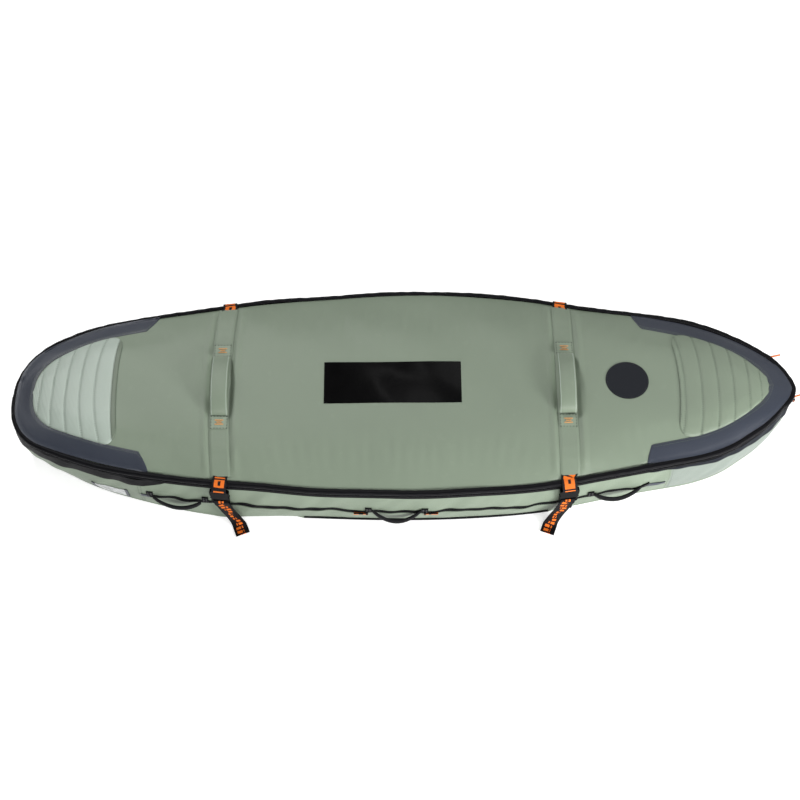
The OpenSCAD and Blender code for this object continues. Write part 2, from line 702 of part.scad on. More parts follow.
// The free end leaves the ladder's front and drops to the floor; its foot lies there, off to one side
strap_curl_z = 3;
strap_cut_z = 31;
strap_cut_n = 9.5;
strap_cut_gap = 0.5;
strap_drift = [0, 2, 8, 13, 17, 24, 30, 44];
function strap_front(x) = plug_n + plug_t + 1.8;
function hanging_ring(x, way, n, z, k) =
  web_ring(at_rim(x, strap_front(x) + n, z) + tangent(x) * way * strap_drift[k], tangent(x), outward(x));
module strap_end(x, way) {
  color(ORANGE)
    loft(reversed([
      hanging_ring(x, way, 0, ladder_z + 14, 0),
      hanging_ring(x, way, 1, ladder_z - 6, 1),
      hanging_ring(x, way, 5, ladder_z * 0.6, 2),
      hanging_ring(x, way, strap_cut_n, strap_cut_z + strap_cut_gap, 3)]));
}
module strap_foot(x, way) {
  across = tangent(x);
  front = strap_front(x);
  lean = (outward(x) + [0, 0, 1]) / sqrt(2);
  color(ORANGE)
    loft(reversed([
      hanging_ring(x, way, strap_cut_n, strap_cut_z, 3),
      hanging_ring(x, way, 13, 14, 4),
      web_ring(at_rim(x, front + 19, strap_curl_z) + across * way * strap_drift[5], across, lean),
      web_ring(at_rim(x, front + 30, foot_clear) + across * way * strap_drift[6], across, [0, 0, 1]),
      web_ring(at_rim(x, front + 62, foot_clear) + across * way * strap_drift[7], across, [0, 0, 1])]));
}
module strap_foot_tail() { strap_foot(tail_strap_x, 1); }
module strap_foot_nose() { strap_foot(nose_strap_x, -1); }
module strap_end_tail() { strap_end(tail_strap_x, 1); }
module strap_end_nose() { strap_end(nose_strap_x, -1); }

// ---- Top handles ----
anchor_l = 38;
anchor_t = 1.4;
anchor_gap = 1;
function tunnel_top(x, y) = deck_z(x, y) + stitch_gap + tunnel_h + tunnel_t;
module handle_anchors(x) {
  color(SAGE)
    for (way = [-1, 1])
      loft([for (y = steps(way * (top_handle_l / 2 + anchor_gap + (way > 0 ? 0 : anchor_l)),
                           way * (top_handle_l / 2 + anchor_gap + (way > 0 ? anchor_l : 0)), 2))
        let (z = tunnel_top(x, y) + 0.2, w = web_w / 2 + 1)
        [[x - w, y, z], [x + w, y, z], [x + w, y, z + anchor_t], [x - w, y, z + anchor_t]]]);
}
module handle_anchors_tail() { handle_anchors(tail_strap_x); }
module handle_anchors_nose() { handle_anchors(nose_strap_x); }

handle_lift = 8;
leg_w = 30;
leg_t = 3;
pad_share = 0.86;
module top_handle(x) {
  color(SAGE)
    loft([for (f = steps(-1, 1, 16))
      let (y = f * top_handle_l / 2,
           pad = pow(clamp((1 - abs(f)) / (1 - pad_share), 0, 1), 0.5),
           w = (leg_w + (top_handle_w - leg_w) * pad) / 2,
           t = leg_t + (top_handle_t - leg_t) * pad,
           z = tunnel_top(x, top_handle_l / 2) + handle_lift + top_handle_rise * (1 - f * f) - t / 2)
      [[x - w + t / 3, y, z], [x + w - t / 3, y, z],
       [x + w, y, z + t / 3], [x + w, y, z + 2 * t / 3],
       [x + w - t / 3, y, z + t], [x - w + t / 3, y, z + t],
       [x - w, y, z + 2 * t / 3], [x - w, y, z + t / 3]]]);
}
module top_handle_tail() { top_handle(tail_strap_x); }
module top_handle_nose() { top_handle(nose_strap_x); }

// ---- Side pocket, its zip, the window and the side handles ----
pocket_tape_h = 10;
pocket_tape_t = 1;
module pocket_zip_tape() {
  color(BLACK)
    wall_sheet(near_path(tail_seam_x + 24, nose_seam_x - 78), pocket_zip_z - pocket_tape_h / 2,
      pocket_zip_z + pocket_tape_h / 2, pocket_tape_t, 1);
}
tab_l = 22;
zip_tab_h = 11;
trim_t = 1.6;
module pocket_zip_tabs() {
  color(SLATE)
    for (x = [tail_seam_x + 1, nose_seam_x - 77])
      wall_sheet(near_path(x, x + (x < 0 ? tab_l : 3 * tab_l)), pocket_zip_z - zip_tab_h / 2,
        pocket_zip_z + zip_tab_h / 2, trim_t, 1);
}
pocket_ends = [-455, 400];
pocket_t = 3;
module pocket_panel() {
  color(SAGE)
    wall_sheet(near_path(pocket_ends[0], pocket_ends[1]), foot_clear + foot_binding_h + 4,
      pocket_zip_z - pocket_tape_h / 2 - 1, pocket_t, 3);
}
window_ends = [-824, -744];
window_low = 14;
window_high = 62;
binding_strip = 8;
film_t = 0.8;
module id_window() {
  color(CLEAR)
    wall_sheet(near_path(window_ends[0], window_ends[1]), window_low, window_high, film_t, 2);
}
module id_window_bindings() {
  color(SLATE)
    for (x = [window_ends[0] - binding_strip - 0.5, window_ends[1] + 0.5])
      wall_sheet(near_path(x, x + binding_strip), window_low - 2, window_high + 2, trim_t, 2);
}

handle_end_n = 4.2;
handle_bow = 8;
handle_t = 5;
handle_h = 12;
handle_end_h = 8;
handle_z = pocket_zip_z + 14;
tab_w = 16;
tab_h = 16;
tab_t = 3;
module side_handle_tabs() {
  color(BLACK)
    for (x = side_handle_x, way = [-1, 1])
      let (mid = x + way * (side_handle_l / 2 + tab_w / 2 + 1))
      wall_sheet(near_path(mid - tab_w / 2, mid + tab_w / 2), handle_z - tab_h / 2,
        handle_z + tab_h / 2, tab_t, 1);
}
// A side handle hangs from its tabs in a shallow arc, slack from the wall
module side_handle(i, drop) {
  half = side_handle_l / 2;
  t = handle_t / 2;
  color(BLACK) on_near_wall(side_handle_x[i])
    loft([for (f = steps(-1, 1, 14))
      let (n = handle_end_n + handle_bow * (1 - f * f), z = handle_z - drop * (1 - f * f),
           h = (handle_end_h + (handle_h - handle_end_h) * (1 - f * f)) / 2, c = h - t / 2, u = f * half)
      [[u, n - t, z - c], [u, n - t, z + c], [u, n, z + h],
       [u, n + t, z + c], [u, n + t, z - c], [u, n, z - h]]]);
}
module side_handle_tail() { side_handle(0, side_handle_drop); }
module side_handle_mid() { side_handle(1, mid_handle_drop); }
module side_handle_nose() { side_handle(2, side_handle_drop); }

// ---- Zip sliders and pulls ----
// A slider stands on an arc of the outline at a heading; x runs along the tape, y out, z up
module on_end(arcs, index, heading, way, side) {
  a = arcs[index];
  p = on_arc(a[0], a[1], heading);
  translate([widest_x + way * p[0], side * p[1], 0])
    rotate([0, 0, atan2(side * cos(heading), way * sin(heading)) - 90])
      children();
}
wing_t = 1.6;
post_t = 1.1;
lug_t = 1.5;
lug_gap = 5;
lug_l = 6;
lug_rise = 5;
pin_lift = 2.6;
pin_in = 3;
bite = 0.1;
post_l = 2;
tape_mid = tape_inner_n + tape_t / 2;
wing_n = tape_mid + tape_t / 2 + slider_gap;
pin_n = wing_n + wing_t + pin_lift;
module zip_slider() {
  half = slider_l / 2;
  color(STEEL) {
    plate(wing_n, wing_n + wing_t) translate([0, chain_z]) polygon([
      [-half, -slider_h / 2 + 2], [-half + 2, -slider_h / 2], [half - 3, -slider_h / 2],
      [half, -slider_h / 2 + 3], [half, slider_h / 2 - 3], [half - 3, slider_h / 2],
      [-half + 2, slider_h / 2], [-half, slider_h / 2 - 2]]);
    translate([-half, 2 * tape_mid - wing_n - wing_t, chain_z - slider_h / 2])
      cube([slider_l, wing_t, slider_h]);
    translate([half - post_l - 1, tape_mid - tape_t / 2 - slider_gap - bite, chain_z - post_t / 2])
      cube([post_l, tape_t + 2 * (slider_gap + bite), post_t]);
    for (way = [-1, 1])
      translate([1 - half, wing_n + wing_t - bite, chain_z + way * (lug_gap + lug_t) / 2 - lug_t / 2])
        cube([lug_l, lug_rise, lug_t]);
    translate([1 + pin_in - half, pin_n, chain_z - lug_gap / 2 - 0.5])
      cylinder(r = pin_r, h = lug_gap + 1);
  }
}
// A pull: an eye on the slider's pin, a stem and a cord tab that bends outwards
eye_r = 2.3;
eye_h = 4.4;
stem_l = 20;
stem_t = 1.4;
stem_w = 2.4;
cord_tab_t = 3.2;
cord_tab_w = 4.2;
tab_len = 36;
tab_bend = 50;
module zip_pull(x, n, z, stem, tab, bend) {
  color(ORANGE) translate([x, n, z]) difference() {
    union() {
      cylinder(r = eye_r, h = eye_h, center = true);
      translate([pin_r + 0.4, -stem_t / 2, -stem_w / 2]) cube([eye_r + stem - pin_r, stem_t, stem_w]);
      translate([eye_r + stem, 0, 0]) rotate([0, 0, bend])
        translate([0, -cord_tab_t / 2, -cord_tab_w / 2]) cube([tab, cord_tab_t, cord_tab_w]);
    }
    cylinder(r = pin_r + pin_gap, h = eye_h + 2, center = true);
  }
}
far_slider_h = nose_arcs[1][3] - 1.2;
tip_slider_h = nose_arcs[2][3] - 4;
pin_back = slider_l / 2 - 1 - pin_in;
module on_far_slider() { on_end(nose_arcs, 1, far_slider_h, 1, 1) children(); }
module on_tip_slider() { on_end(nose_arcs, 2, tip_slider_h, 1, -1) mirror([1, 0, 0]) children(); }
module far_zip_slider() { on_far_slider() zip_slider(); }
module tip_zip_slider() { on_tip_slider() zip_slider(); }
module far_zip_pull() {
  on_far_slider() zip_pull(-pin_back, pin_n, chain_z, stem_l, tab_len, tab_bend);
}
module tip_zip_pull() {
  on_tip_slider() zip_pull(-pin_back, pin_n, chain_z, stem_l / 2, tab_len / 2, tab_bend);
}

pocket_slider_x = [-102, 54];
pocket_slider_l = 11;
pocket_slider_h = 8;
pocket_slider_gap = 0.5;
pocket_stem_l = 8;
function pocket_lift(x) =
  let (s = [x, -rim_y(x), outward(x)[0], outward(x)[1]])
  wall_n(s, pocket_zip_z) + sheet_gap;
module pocket_slider(x, way) {
  n = pocket_lift(x) + pocket_tape_t + pocket_slider_gap;
  color(STEEL) on_near_wall(x) mirror([way < 0 ? 1 : 0, 0, 0]) {
    translate([-pocket_slider_l / 2, n, pocket_zip_z - pocket_slider_h / 2])
      cube([pocket_slider_l, wing_t, pocket_slider_h]);
    for (side = [-1, 1])
      translate([0.5 - pocket_slider_l / 2, n + wing_t - bite,
                 pocket_zip_z + side * (lug_gap + lug_t) / 2 - lug_t / 2])
        cube([lug_l, lug_rise, lug_t]);
    translate([0.5 + pin_in - pocket_slider_l / 2, n + wing_t + pin_lift,
               pocket_zip_z - lug_gap / 2 - 0.5])
      cylinder(r = pin_r, h = lug_gap + 1);
  }
}
pocket_pull_l = 24;
module pocket_pull(x, way) {
  n = pocket_lift(x) + pocket_tape_t + pocket_slider_gap + wing_t + pin_lift;
  on_near_wall(x) mirror([way < 0 ? 1 : 0, 0, 0])
    zip_pull(0.5 + pin_in - pocket_slider_l / 2, n, pocket_zip_z, pocket_stem_l, pocket_pull_l, 0);
}
module pocket_slider_tail() { pocket_slider(pocket_slider_x[0], 1); }
module pocket_slider_nose() { pocket_slider(pocket_slider_x[1], -1); }
module pocket_pull_tail() { pocket_pull(pocket_slider_x[0], 1); }
module pocket_pull_nose() { pocket_pull(pocket_slider_x[1], -1); }

base_panel();
base_binding();
tail_wall();
near_wall();
nose_wall();
far_wall();
lower_zip_tape();
tail_side_guard();
nose_side_guard();
hinge_margin();
margin_binding();
margin_tunnel_tail();
margin_tunnel_nose();
pocket_zip_tape();
pocket_zip_tabs();
pocket_panel();
id_window();
id_window_bindings();
side_handle_tabs();
far_strap_tail();
far_strap_nose();
lower_strap_tail();
lower_strap_nose();
deck_panel();
deck_binding();
upper_zip_tape();
tail_guard();
nose_guard();
tail_quilt();
nose_quilt();
strap_tunnel_tail();
strap_tunnel_nose();
deck_strap_tail();
deck_strap_nose();
buckle_socket_tail();
buckle_socket_nose();
handle_anchors_tail();
handle_anchors_nose();
print_panel();
round_patch();
top_handle_tail();
top_handle_nose();
side_handle_tail();
side_handle_mid();
side_handle_nose();
buckle_plug_tail();
buckle_plug_nose();
strap_end_tail();
strap_end_nose();
strap_foot_tail();
strap_foot_nose();
far_zip_slider();
tip_zip_slider();
far_zip_pull();
tip_zip_pull();
pocket_slider_tail();
pocket_slider_nose();
pocket_pull_tail();
pocket_pull_nose();
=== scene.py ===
import math

import bpy
import numpy as np
from mathutils import Matrix, Vector
from mathutils.bvhtree import BVHTree


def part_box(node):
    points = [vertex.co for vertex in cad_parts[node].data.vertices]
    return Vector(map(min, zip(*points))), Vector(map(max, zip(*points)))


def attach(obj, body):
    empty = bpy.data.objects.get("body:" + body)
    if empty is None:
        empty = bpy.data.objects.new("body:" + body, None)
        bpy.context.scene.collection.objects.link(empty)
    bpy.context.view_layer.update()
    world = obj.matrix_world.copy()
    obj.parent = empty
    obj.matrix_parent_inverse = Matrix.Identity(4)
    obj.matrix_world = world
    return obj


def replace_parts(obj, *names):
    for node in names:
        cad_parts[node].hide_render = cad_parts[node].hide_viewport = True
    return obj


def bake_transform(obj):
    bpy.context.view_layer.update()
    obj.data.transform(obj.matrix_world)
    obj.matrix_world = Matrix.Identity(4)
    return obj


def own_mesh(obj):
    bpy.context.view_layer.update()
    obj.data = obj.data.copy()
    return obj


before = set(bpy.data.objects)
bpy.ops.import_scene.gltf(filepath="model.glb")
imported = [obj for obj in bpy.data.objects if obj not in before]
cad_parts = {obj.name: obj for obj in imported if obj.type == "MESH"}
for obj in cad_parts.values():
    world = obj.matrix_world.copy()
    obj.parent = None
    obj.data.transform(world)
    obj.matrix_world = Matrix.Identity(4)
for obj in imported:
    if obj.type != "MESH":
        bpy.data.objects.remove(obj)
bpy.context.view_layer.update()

bl_info = {
    "name": "Surfboard travel bag",
    "version": (1, 0, 0),
    "blender": (4, 5, 0),
    "location": "3D View > Sidebar > Bag",
    "description": "Builds the cloth, webbing, zips and stitching of a padded board bag round its frame",
    "category": "Object",
}

# Lengths are in metres. x runs to the nose, y to the fabric hinge, z up.
# The overall sizes come from the frame; the rest repeat the part's own driving dimensions.
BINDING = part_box("deck_binding")
RIM_Z = BINDING[1].z
HALF_W = -BINDING[0].y
TAIL_L, BAG_L = 1.062, BINDING[1].x - BINDING[0].x
WIDEST_X = TAIL_L - BAG_L / 2
NOSE_SHAPE = (HALF_W, BAG_L - TAIL_L, 0.322, (0.705, 0.935), (0.80, 2.66))
TAIL_SHAPE = (HALF_W, TAIL_L, 0.9, (0.577, 0.750), (0.513, 0.886))
BINDING_W, BINDING_H = 0.014, 0.010
RIM_SET = 0.005
HINGE_Y, FOLD = 0.232, 0.016
BASE_T, WALL_T, DECK_T = 0.008, 0.005, 0.009
WALL_BOW, SIDE_LEAN, END_LEAN = 0.006, 0.006, 0.014
CROWN = 0.030
LOWER_TAPE_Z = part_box("lower_zip_tape")[0].z
LOWER_TAPE_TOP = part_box("lower_zip_tape")[1].z
UPPER_TAPE_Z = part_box("upper_zip_tape")[0].z
BINDING_Z = RIM_Z - BINDING_H
CHAIN_Z = (LOWER_TAPE_TOP + UPPER_TAPE_Z) / 2
GUARD_W = 0.048
STRAP_X = {"tail": -0.480, "nose": 0.425}
WEB_W, WEB_T = 0.038, 0.0016
TUNNEL_W, TUNNEL_H = 0.054, 0.0038
SEAM_X = {"tail": -0.697, "nose": 0.700}
POCKET_ZIP_Z = 0.068
UP = np.array([0, 0, 1.0])
PI = math.pi


def linear(r, g, b):
    """A display colour, 0 to 255, as the light that it stands for."""
    return tuple((c / 255) ** 2.2 for c in (r, g, b))


class BagSizes(bpy.types.PropertyGroup):
    """Sizes of the cloth's small features."""
    stitch_pitch: bpy.props.FloatProperty(
        name="Stitch pitch", description="Distance from stitch to stitch", default=0.0058, unit="LENGTH")
    thread_w: bpy.props.FloatProperty(
        name="Thread width", description="Thickness of the sewing thread", default=0.0011, unit="LENGTH")
    tooth_pitch: bpy.props.FloatProperty(
        name="Chain pitch", description="Distance from tooth to tooth", default=0.0030, unit="LENGTH")
    quilt_h: bpy.props.FloatProperty(
        name="Quilt height", description="Height of a quilted channel", default=0.0032, unit="LENGTH")
    rim_wave: bpy.props.FloatProperty(
        name="Rim wave", description="How far the soft rim wanders", default=0.0014, unit="LENGTH")
    wall_fold: bpy.props.FloatProperty(
        name="Wall folds", description="Depth of the side walls' folds", default=0.0030, unit="LENGTH")
    puff: bpy.props.FloatProperty(
        name="Deck puff", description="Most that the padded deck may swell", default=0.007, unit="LENGTH")


class BagColours(bpy.types.PropertyGroup):
    """Colours of the bag's materials."""
    sage: bpy.props.FloatVectorProperty(
        name="Main cloth", description="Coated cloth of the deck and walls", subtype="COLOR",
        default=linear(127, 140, 122))
    # Partly the tail pad's paler cloth and partly painted sheen on it; the nose wall's painted light is also
    # made from this colour
    pale: bpy.props.FloatVectorProperty(
        name="Quilted cloth", description="Cloth of the quilted pads", subtype="COLOR",
        default=linear(170, 183, 172))
    slate: bpy.props.FloatVectorProperty(
        name="Guards", description="Cloth of the guards", subtype="COLOR", default=linear(54, 59, 70))
    black: bpy.props.FloatVectorProperty(
        name="Binding and webbing", description="Black webbing, tape and binding", subtype="COLOR",
        default=linear(16, 16, 19))
    orange: bpy.props.FloatVectorProperty(
        name="Accent", description="Print on the straps, and the zip pulls", subtype="COLOR",
        default=linear(244, 120, 40))
    bartack: bpy.props.FloatVectorProperty(
        name="Bartacks", description="Thread of the bartacks", subtype="COLOR",
        default=linear(222, 166, 104))
    thread: bpy.props.FloatVectorProperty(
        name="Thread", description="Thread of the long seams", subtype="COLOR", default=linear(84, 96, 84))
    lining: bpy.props.FloatVectorProperty(
        name="Lining", description="Cloth of the inside", subtype="COLOR", default=linear(120, 124, 126))


def sizes():
    """The sizes that the scene holds."""
    return bpy.context.scene.bag_sizes


def colours():
    """The colours that the scene holds."""
    return bpy.context.scene.bag_colours


# ---- Shader maths ----
def maths(operation, swapped=False):
    """A Python operator on sockets that adds one maths node."""
    def calc(self, other=0.0):
        a, b = (other, self) if swapped else (self, other)
        return self.bench.put("ShaderNodeMath", {"operation": operation}, {0: a, 1: b})
    return calc


class Wire:
    """A shader socket that takes part in Python expressions."""
    __add__, __radd__ = maths("ADD"), maths("ADD", swapped=True)
    __sub__, __rsub__ = maths("SUBTRACT"), maths("SUBTRACT", swapped=True)
    __mul__, __rmul__ = maths("MULTIPLY"), maths("MULTIPLY", swapped=True)
    __truediv__, __mod__ = maths("DIVIDE"), maths("FLOORED_MODULO")
    __lt__, __gt__ = maths("LESS_THAN"), maths("GREATER_THAN")
    __abs__, sine = maths("ABSOLUTE"), maths("SINE")

    def __init__(self, bench, socket):
        self.bench = bench
        self.socket = socket


class Bench:
    """A material and its node tree."""

    def __init__(self, name, **constants):
        self.material = bpy.data.materials.new(name)
        self.material.use_nodes = True
        self.tree = self.material.node_tree
        self.surface = self.tree.nodes["Principled BSDF"]
        for socket, value in constants.items():
            self.surface.inputs[socket.replace("_", " ")].default_value = value

    def put(self, kind, settings=None, sockets=None, out=0):
        """Adds a node and returns one of its outputs."""
        node = self.tree.nodes.new(kind)
        for key, value in (settings or {}).items():
            setattr(node, key, value)
        for key, value in (sockets or {}).items():
            if isinstance(value, Wire):
                self.tree.links.new(value.socket, node.inputs[key])
            else:
                node.inputs[key].default_value = value
        return Wire(self, node.outputs[out])

    def place(self):
        """The place in the object's own space."""
        return self.put("ShaderNodeTexCoord", out="Object")

    def along(self):
        """The piece's own u and v, in metres along it and across it."""
        uv = self.put("ShaderNodeTexCoord", out="UV")
        return [self.put("ShaderNodeSeparateXYZ", {}, {0: uv}, out=i) for i in (0, 1)]

    def parts(self, vector):
        """A vector's x, y and z."""
        return [self.put("ShaderNodeSeparateXYZ", {}, {0: vector}, out=i) for i in range(3)]

    def noise(self, scale, detail=2.0):
        """Smooth noise through the object's own space."""
        sockets = {"Vector": self.place(), "Scale": scale, "Detail": detail}
        return self.put("ShaderNodeTexNoise", {}, sockets)

    def mix(self, share, a, b):
        """Two colours mixed; each is a triple or a link."""
        ends = [c if isinstance(c, Wire) else (*c, 1.0) for c in (a, b)]
        return self.put("ShaderNodeMix", {"data_type": "RGBA"}, {0: share, 6: ends[0], 7: ends[1]}, out=2)

    def bump(self, height, distance):
        """A normal that tilts as the height does."""
        return self.put("ShaderNodeBump", {}, {"Height": height, "Distance": distance})

    def feed(self, **links):
        """Sets the surface's sockets and returns the material."""
        for socket, value in links.items():
            target = self.surface.inputs[socket.replace("_", " ")]
            if isinstance(value, Wire):
                self.tree.links.new(value.socket, target)
            else:
                target.default_value = value
        return self.material


def shade(colour, k):
    """A colour made darker or lighter by a factor."""
    return tuple(min(1.0, c * k) for c in colour)


# ---- Finishes ----
WEB_RIB = 0.0016


def coated_cloth(name, colour, rough=0.46, spread=0.05, weave=0.0011, shine=0.5):
    """A coated weave: fine threads under a satin skin, a little uneven in tone."""
    b = Bench(name, Specular_IOR_Level=shine)
    x, y, z = b.parts(b.place())
    threads = (x * (2 * PI / weave)).sine() * ((y + z) * (2 * PI / weave)).sine()
    blotch = b.noise(5.0, 4.0)
    grain = b.noise(420.0, 2.0)
    scuff = b.noise(38.0, 5.0)
    tone = b.mix(blotch, shade(colour, 1 - spread), shade(colour, 1 + spread))
    tone = b.mix((scuff > 0.66) * 0.10, tone, shade(colour, 1.22))
    return b.feed(
        Base_Color=tone,
        Roughness=blotch * 0.14 + grain * 0.10 + (rough - 0.12),
        Normal=b.bump(threads * 0.5 + grain, 0.00011))


def ribbed_tape(name, colour, rib=WEB_RIB, rough=0.62):
    """Woven tape or webbing: ribs along u, fine threads along v."""
    b = Bench(name, Specular_IOR_Level=0.12)
    u, v = b.along()
    ribs = abs((u * (PI / rib)).sine())
    threads = abs((v * (PI / (rib * 1.7))).sine())
    wear = b.noise(60.0, 4.0)
    tone = b.mix(wear, shade(colour, 0.75), shade(colour, 1.5))
    return b.feed(
        Base_Color=b.mix(ribs * 0.30, tone, shade(colour, 1.5)),
        Roughness=wear * 0.2 + (rough - 0.1),
        Normal=b.bump(ribs * 0.6 + threads * 0.6, 0.00035))


PRINT_STEP, PRINT_HALF_W, PRINT_HOLE_HALF_W = 0.034, 0.0135, 0.0036
DOT_STEP = 0.0115


def inked_web(b, u, inked):
    """Ribbed black webbing, coloured where it is inked."""
    ribs = abs((u * (PI / WEB_RIB)).sine())
    wear = b.noise(70.0, 4.0)
    black, orange = colours().black, colours().orange
    cloth = b.mix(wear, shade(black, 0.75), shade(black, 1.6))
    return b.feed(
        Base_Color=b.mix(inked, cloth, b.mix(wear * 0.5, orange, shade(orange, 0.72))),
        Roughness=wear * 0.2 + 0.48,
        Normal=b.bump(ribs + inked * 0.3, 0.0003))


def printed_web(name, fill):
    """Webbing with a plain run of holed blocks and bars printed along its middle."""
    b = Bench(name, Specular_IOR_Level=0.25)
    u, v = b.along()
    cell = (u % PRINT_STEP) / PRINT_STEP
    band = abs(v - WEB_W / 2) < PRINT_HALF_W
    hole = (abs(v - WEB_W / 2) < PRINT_HOLE_HALF_W) * (abs(cell - fill / 2) < 0.16)
    block = (cell < fill) * (1 - hole)
    bar = (cell > 0.78) * (cell < 0.88)
    return inked_web(b, u, band * (block + bar))


def dotted_web(name):
    """Webbing with small blocks printed down its middle, uneven in width."""
    b = Bench(name, Specular_IOR_Level=0.15)
    u, v = b.along()
    cell = (u % DOT_STEP) / DOT_STEP
    row = u - (u % DOT_STEP)
    side = (row * 977.0).sine() * 0.0035
    half = (row * 613.0).sine() * 0.0025 + 0.0070
    inked = (cell < 0.64) * (abs(v - WEB_W / 2 - side) < half) * (abs(v - WEB_W / 2 + side) > 0.0016)
    return inked_web(b, u, inked)


def moulded(name, colour, rough=0.42):
    """Moulded plastic, with a fine grain."""
    b = Bench(name, Specular_IOR_Level=0.05)
    grain = b.noise(900.0, 2.0)
    wear = b.noise(55.0, 4.0)
    return b.feed(
        Base_Color=b.mix(wear, shade(colour, 0.8), shade(colour, 1.35)),
        Roughness=wear * 0.15 + (rough - 0.06),
        Normal=b.bump(grain, 0.00006))


def plated(name, colour):
    """Dark plated metal, worn bright in specks."""
    b = Bench(name, Metallic=0.85)
    wear = b.noise(160.0, 4.0)
    return b.feed(
        Base_Color=b.mix((wear > 0.6) * 0.5, colour, shade(colour, 2.6)),
        Roughness=wear * 0.25 + 0.22,
        Normal=b.bump(wear, 0.00004))


def film_print(name, colour):
    """A flat transfer print, glossier than the cloth under it."""
    b = Bench(name, Specular_IOR_Level=0.05, Coat_Roughness=0.08, Coat_IOR=1.15)
    drift = b.noise(14.0, 3.0)
    return b.feed(
        Base_Color=b.mix(drift, colour, shade(colour, 2.0)),
        Roughness=drift * 0.12 + 0.16,
        Coat_Weight=drift * 0.3 + 0.5,
        Normal=b.bump(b.noise(24.0, 2.0), 0.0006))


def clear_film(name):
    """The window's creased clear film."""
    b = Bench(name, Specular_IOR_Level=0.7)
    creases = b.noise(48.0, 5.0)
    return b.feed(
        Base_Color=b.mix(creases, (0.70, 0.73, 0.73), (0.94, 0.95, 0.95)),
        Roughness=creases * 0.2 + 0.08,
        Alpha=creases * 0.4 + 0.50,
        Normal=b.bump(creases, 0.004))


def spun_thread(name, colour):
    """Sewing thread, or thin cord."""
    b = Bench(name, Sheen_Weight=0.3)
    twist = b.noise(1500.0, 1.0)
    return b.feed(
        Base_Color=b.mix(twist, shade(colour, 0.7), shade(colour, 1.25)),
        Roughness=twist * 0.2 + 0.55,
        Normal=b.bump(twist, 0.0002))


def lining_cloth(name, colour):
    """The soft grey lining, with a fine square rib."""
    b = Bench(name, Sheen_Weight=0.2)
    x, y, z = b.parts(b.place())
    ribs = ((x + z) * (2 * PI / 0.004)).sine() * (y * (2 * PI / 0.004)).sine()
    drift = b.noise(7.0, 3.0)
    return b.feed(
        Base_Color=b.mix(drift, shade(colour, 0.9), shade(colour, 1.1)),
        Roughness=drift * 0.2 + 0.6,
        Normal=b.bump(ribs, 0.0002))


FINISHES = {
    "sage_cloth": lambda n: coated_cloth(n, colours().sage),
    # The tail pad's cloth: paler cloth, its paleness partly painted sheen
    "pale_cloth": lambda n: coated_cloth(n, colours().pale, rough=0.40, spread=0.03),
    # Painted light: a paler, greyer copy of the wall cloth for the nose wall, standing in for the front
    # lamps' light on that end
    "wall_cloth": lambda n: coated_cloth(n, shade(colours().pale, 0.54), spread=0.03),
    "slate_cloth": lambda n: coated_cloth(n, colours().slate, rough=0.40, spread=0.10, weave=0.0016),
    "dark_slate": lambda n: coated_cloth(
        n, shade(colours().slate, 0.30), rough=0.6, weave=0.0016, shine=0.12),
    "patch_cloth": lambda n: coated_cloth(
        n, shade(colours().slate, 0.26), rough=0.5, weave=0.0016, shine=0.2),
    "welt_cloth": lambda n: coated_cloth(n, shade(colours().sage, 0.74), spread=0.03),
    "anchor_cloth": lambda n: coated_cloth(n, shade(colours().sage, 1.16), spread=0.03),
    "edge_binding": lambda n: ribbed_tape(n, colours().black, rib=0.0024, rough=0.5),
    "tape_cloth": lambda n: ribbed_tape(n, shade(colours().black, 1.15), rib=0.0009),
    "black_web": lambda n: ribbed_tape(n, colours().black),
    "print_web_tail": lambda n: printed_web(n, 0.52),
    "print_web_nose": lambda n: printed_web(n, 0.78),
    "dotted_web": dotted_web,
    "black_moulding": lambda n: moulded(n, shade(colours().black, 0.3)),
    "zip_coil": lambda n: moulded(n, shade(colours().black, 1.3), rough=0.3),
    "dark_plate": lambda n: plated(n, (0.045, 0.045, 0.05)),
    "gloss_print": lambda n: film_print(n, (0.0009, 0.0009, 0.0010)),
    "window_film": clear_film,
    "seam_thread": lambda n: spun_thread(n, colours().thread),
    "dark_thread": lambda n: spun_thread(n, shade(colours().black, 2.2)),
    "sage_thread": lambda n: spun_thread(n, shade(colours().sage, 0.72)),
    "pale_thread": lambda n: spun_thread(n, shade(colours().pale, 1.12)),
    "bartack_thread": lambda n: spun_thread(n, colours().bartack),
    "pull_cord": lambda n: spun_thread(n, colours().orange),
    "lining": lambda n: lining_cloth(n, colours().lining),
}


def finish_of(name):
    """The material of that name, made when it is first asked for."""
    return bpy.data.materials.get(name) or FINISHES[name](name)


# ---- The rim: the same four tangent arcs to each end as the frame's ----
def end_arcs(width, length, roundness, joins, steepness):
    """The arcs [centre, radius, first heading, last heading] from the widest place to the tip."""
    def on(c, r, h):
        return c + r * np.array([math.sin(h), math.cos(h)])

    h1, h2 = (math.atan(k * width / length) for k in steepness)
    r1 = joins[0] * length / math.sin(h1)
    r2 = (joins[1] - joins[0]) * length / (math.sin(h2) - math.sin(h1))
    c1 = np.array([0.0, width - r1])
    c2 = on(c1, r1 - r2, h1)
    p2 = on(c2, r2, h2)
    tip_r = roundness * (math.cos(h2) * p2[1] - math.sin(h2) * (length - p2[0])) / (1 - math.sin(h2))
    tip = np.array([length - tip_r, 0.0])
    d = p2 - tip
    inward = -np.array([math.sin(h2), math.cos(h2)])
    r3 = (tip_r ** 2 - d @ d) / (2 * (inward @ d + tip_r))
    c3 = p2 + r3 * inward
    h3 = math.atan2(*(tip - c3))
    return [(c1, r1, 0, h1), (c2, r2, h1, h2), (c3, r3, h2, h3), (tip, tip_r, h3, PI / 2)]


